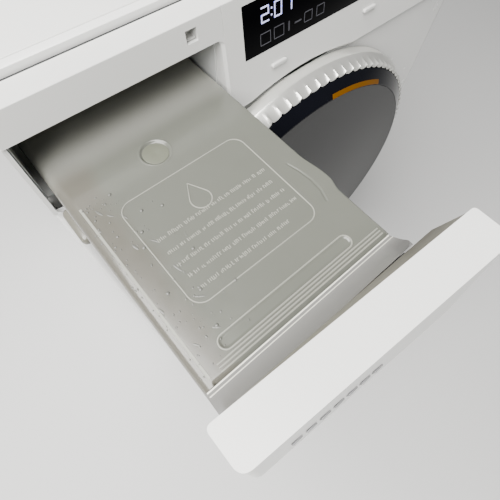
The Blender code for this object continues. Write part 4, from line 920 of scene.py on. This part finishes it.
def front_panel():
    """Pressed sheet: a rolled lip at the porthole, a slot for the door hook and rounded sides."""
    low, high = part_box("front_panel")
    face, bend, hole, lip = low.y, 0.008, 0.1682, 0.0035
    flat_half = high.x - bend
    unrolled = flat_half + bend * pi / 2 + (high.y - face - bend)
    turns = sorted(set(np.round(np.linspace(0, 2 * pi, 257)[:-1], 6)))
    verts, faces = [], []
    inner = [(hole, 0.0100), (hole, lip)]
    inner += [(hole + lip * (1 - cos(t)), lip * (1 - sin(t))) for t in np.linspace(0.3, pi / 2, 6)]
    spread = np.concatenate([np.linspace(0.18, 0.262, 6), np.linspace(0.264, 0.296, 22)])
    for turn in turns:
        c, d = cos(turn), sin(turn)
        tall = (high.z - DOOR_Z) if d > 0 else (DOOR_Z - low.z)
        edge = min(unrolled / max(abs(c), 1e-6), tall / max(abs(d), 1e-6))
        reach = sorted({min(r, edge) for r in spread}) if edge < spread[-1] else list(spread)
        reach += [edge] * (len(spread) - len(reach))
        last = reach[-1]
        reach += [last + (edge - last) * k / 16 for k in range(1, 17)]
        for r, y in inner + [(r, 0.0) for r in reach]:
            x, z = r * c, r * d
            over = abs(x) - flat_half
            if over > 0:
                t = min(over / bend, pi / 2)
                rest = max(0.0, over - bend * pi / 2)
                x = (1 if x > 0 else -1) * (flat_half + bend * sin(t))
                y += bend * (1 - cos(t)) + rest
            verts.append((x, face + 0.0001 + y, DOOR_Z + z))
    count = len(verts) // len(turns)
    for k in range(len(turns)):
        n = (k + 1) % len(turns)
        for i in range(count - 1):
            faces.append((k * count + i, k * count + i + 1, n * count + i + 1, n * count + i))
    sheet = from_lists("front_sheet", verts, faces, outward=False)
    bm = bmesh.new()
    bm.from_mesh(sheet.data)
    bmesh.ops.remove_doubles(bm, verts=bm.verts, dist=0.00002)
    bmesh.ops.recalc_face_normals(bm, faces=bm.faces)
    probe = max(bm.faces, key=lambda f: f.calc_area())
    if probe.normal.y > 0:
        bmesh.ops.reverse_faces(bm, faces=bm.faces)
    bm.to_mesh(sheet.data)
    bm.free()
    wall = sheet.modifiers.new("wall", "SOLIDIFY")
    wall.thickness = 0.0010
    wall.offset = 1.0
    settle(sheet)
    slot = box("lock_slot", (0.2190, depth(-0.03), DOOR_Z - 0.016), (0.2345, depth(0.0), DOOR_Z + 0.016))
    place_piece(carve(sheet, slot), PAINT, "cabinet", "front_panel", crease=40)


# ---------------------------------------------------------------- stage, light and camera
def stage():
    floor = from_lists("floor", [(-6, -6, 0), (6, -6, 0), (6, 6, 0), (-6, 6, 0)], [(0, 1, 2, 3)])
    floor.location.z = -0.0005
    floor.data.materials.append(finish("pale_floor", (0.56, 0.56, 0.56), 0.6, mottle=0.01, patch=2))
    world = bpy.data.worlds.new("studio")
    world.use_nodes = True
    world.node_tree.nodes["Background"].inputs["Color"].default_value = (0.97, 0.985, 1.0, 1)
    world.node_tree.nodes["Background"].inputs["Strength"].default_value = 0.14
    bpy.context.scene.world = world
    for name, spot, aim, size, power in (
            ("key", (-1.15, -0.26, 2.5), (-0.1, -0.1, 0.8), 2.4, 275),
            ("fill", (-1.7, -1.9, 1.5), (-0.1, -0.2, 0.7), 1.4, 2)):
        light = bpy.data.lights.new(name, "AREA")
        light.size = size
        light.energy = power
        light.color = (1.0, 0.99, 0.96)
        lamp = bpy.data.objects.new(name, light)
        bpy.context.scene.collection.objects.link(lamp)
        lamp.location = spot
        lamp.rotation_mode = "QUATERNION"
        lamp.rotation_quaternion = (Vector(aim) - Vector(spot)).to_track_quat("-Z", "Y")


def camera():
    """Held over the open drawer, looking down and to the right."""
    lens = bpy.data.cameras.new("camera")
    lens.lens = 26.27
    lens.clip_start = 0.01
    cam = bpy.data.objects.new("camera", lens)
    bpy.context.scene.collection.objects.link(cam)
    right = Vector((0.75907, -0.65035, 0.02927)).normalized()
    look = Vector((0.30677, 0.31768, -0.89720)).normalized()
    up = right.cross(look)
    turn = Matrix((right, up, -look)).transposed()
    cam.matrix_world = Matrix.Translation(bay(-0.1730, -0.2439, 0.1754)) @ turn.to_4x4()
    bpy.context.scene.camera = cam


for make in (drawer_lid, lid_marks, droplets, drawer_tray, drawer_cove, drawer_front, drawer_backplate,
             console, display, door, gasket, top_plate, front_panel, stage, camera):
    make()
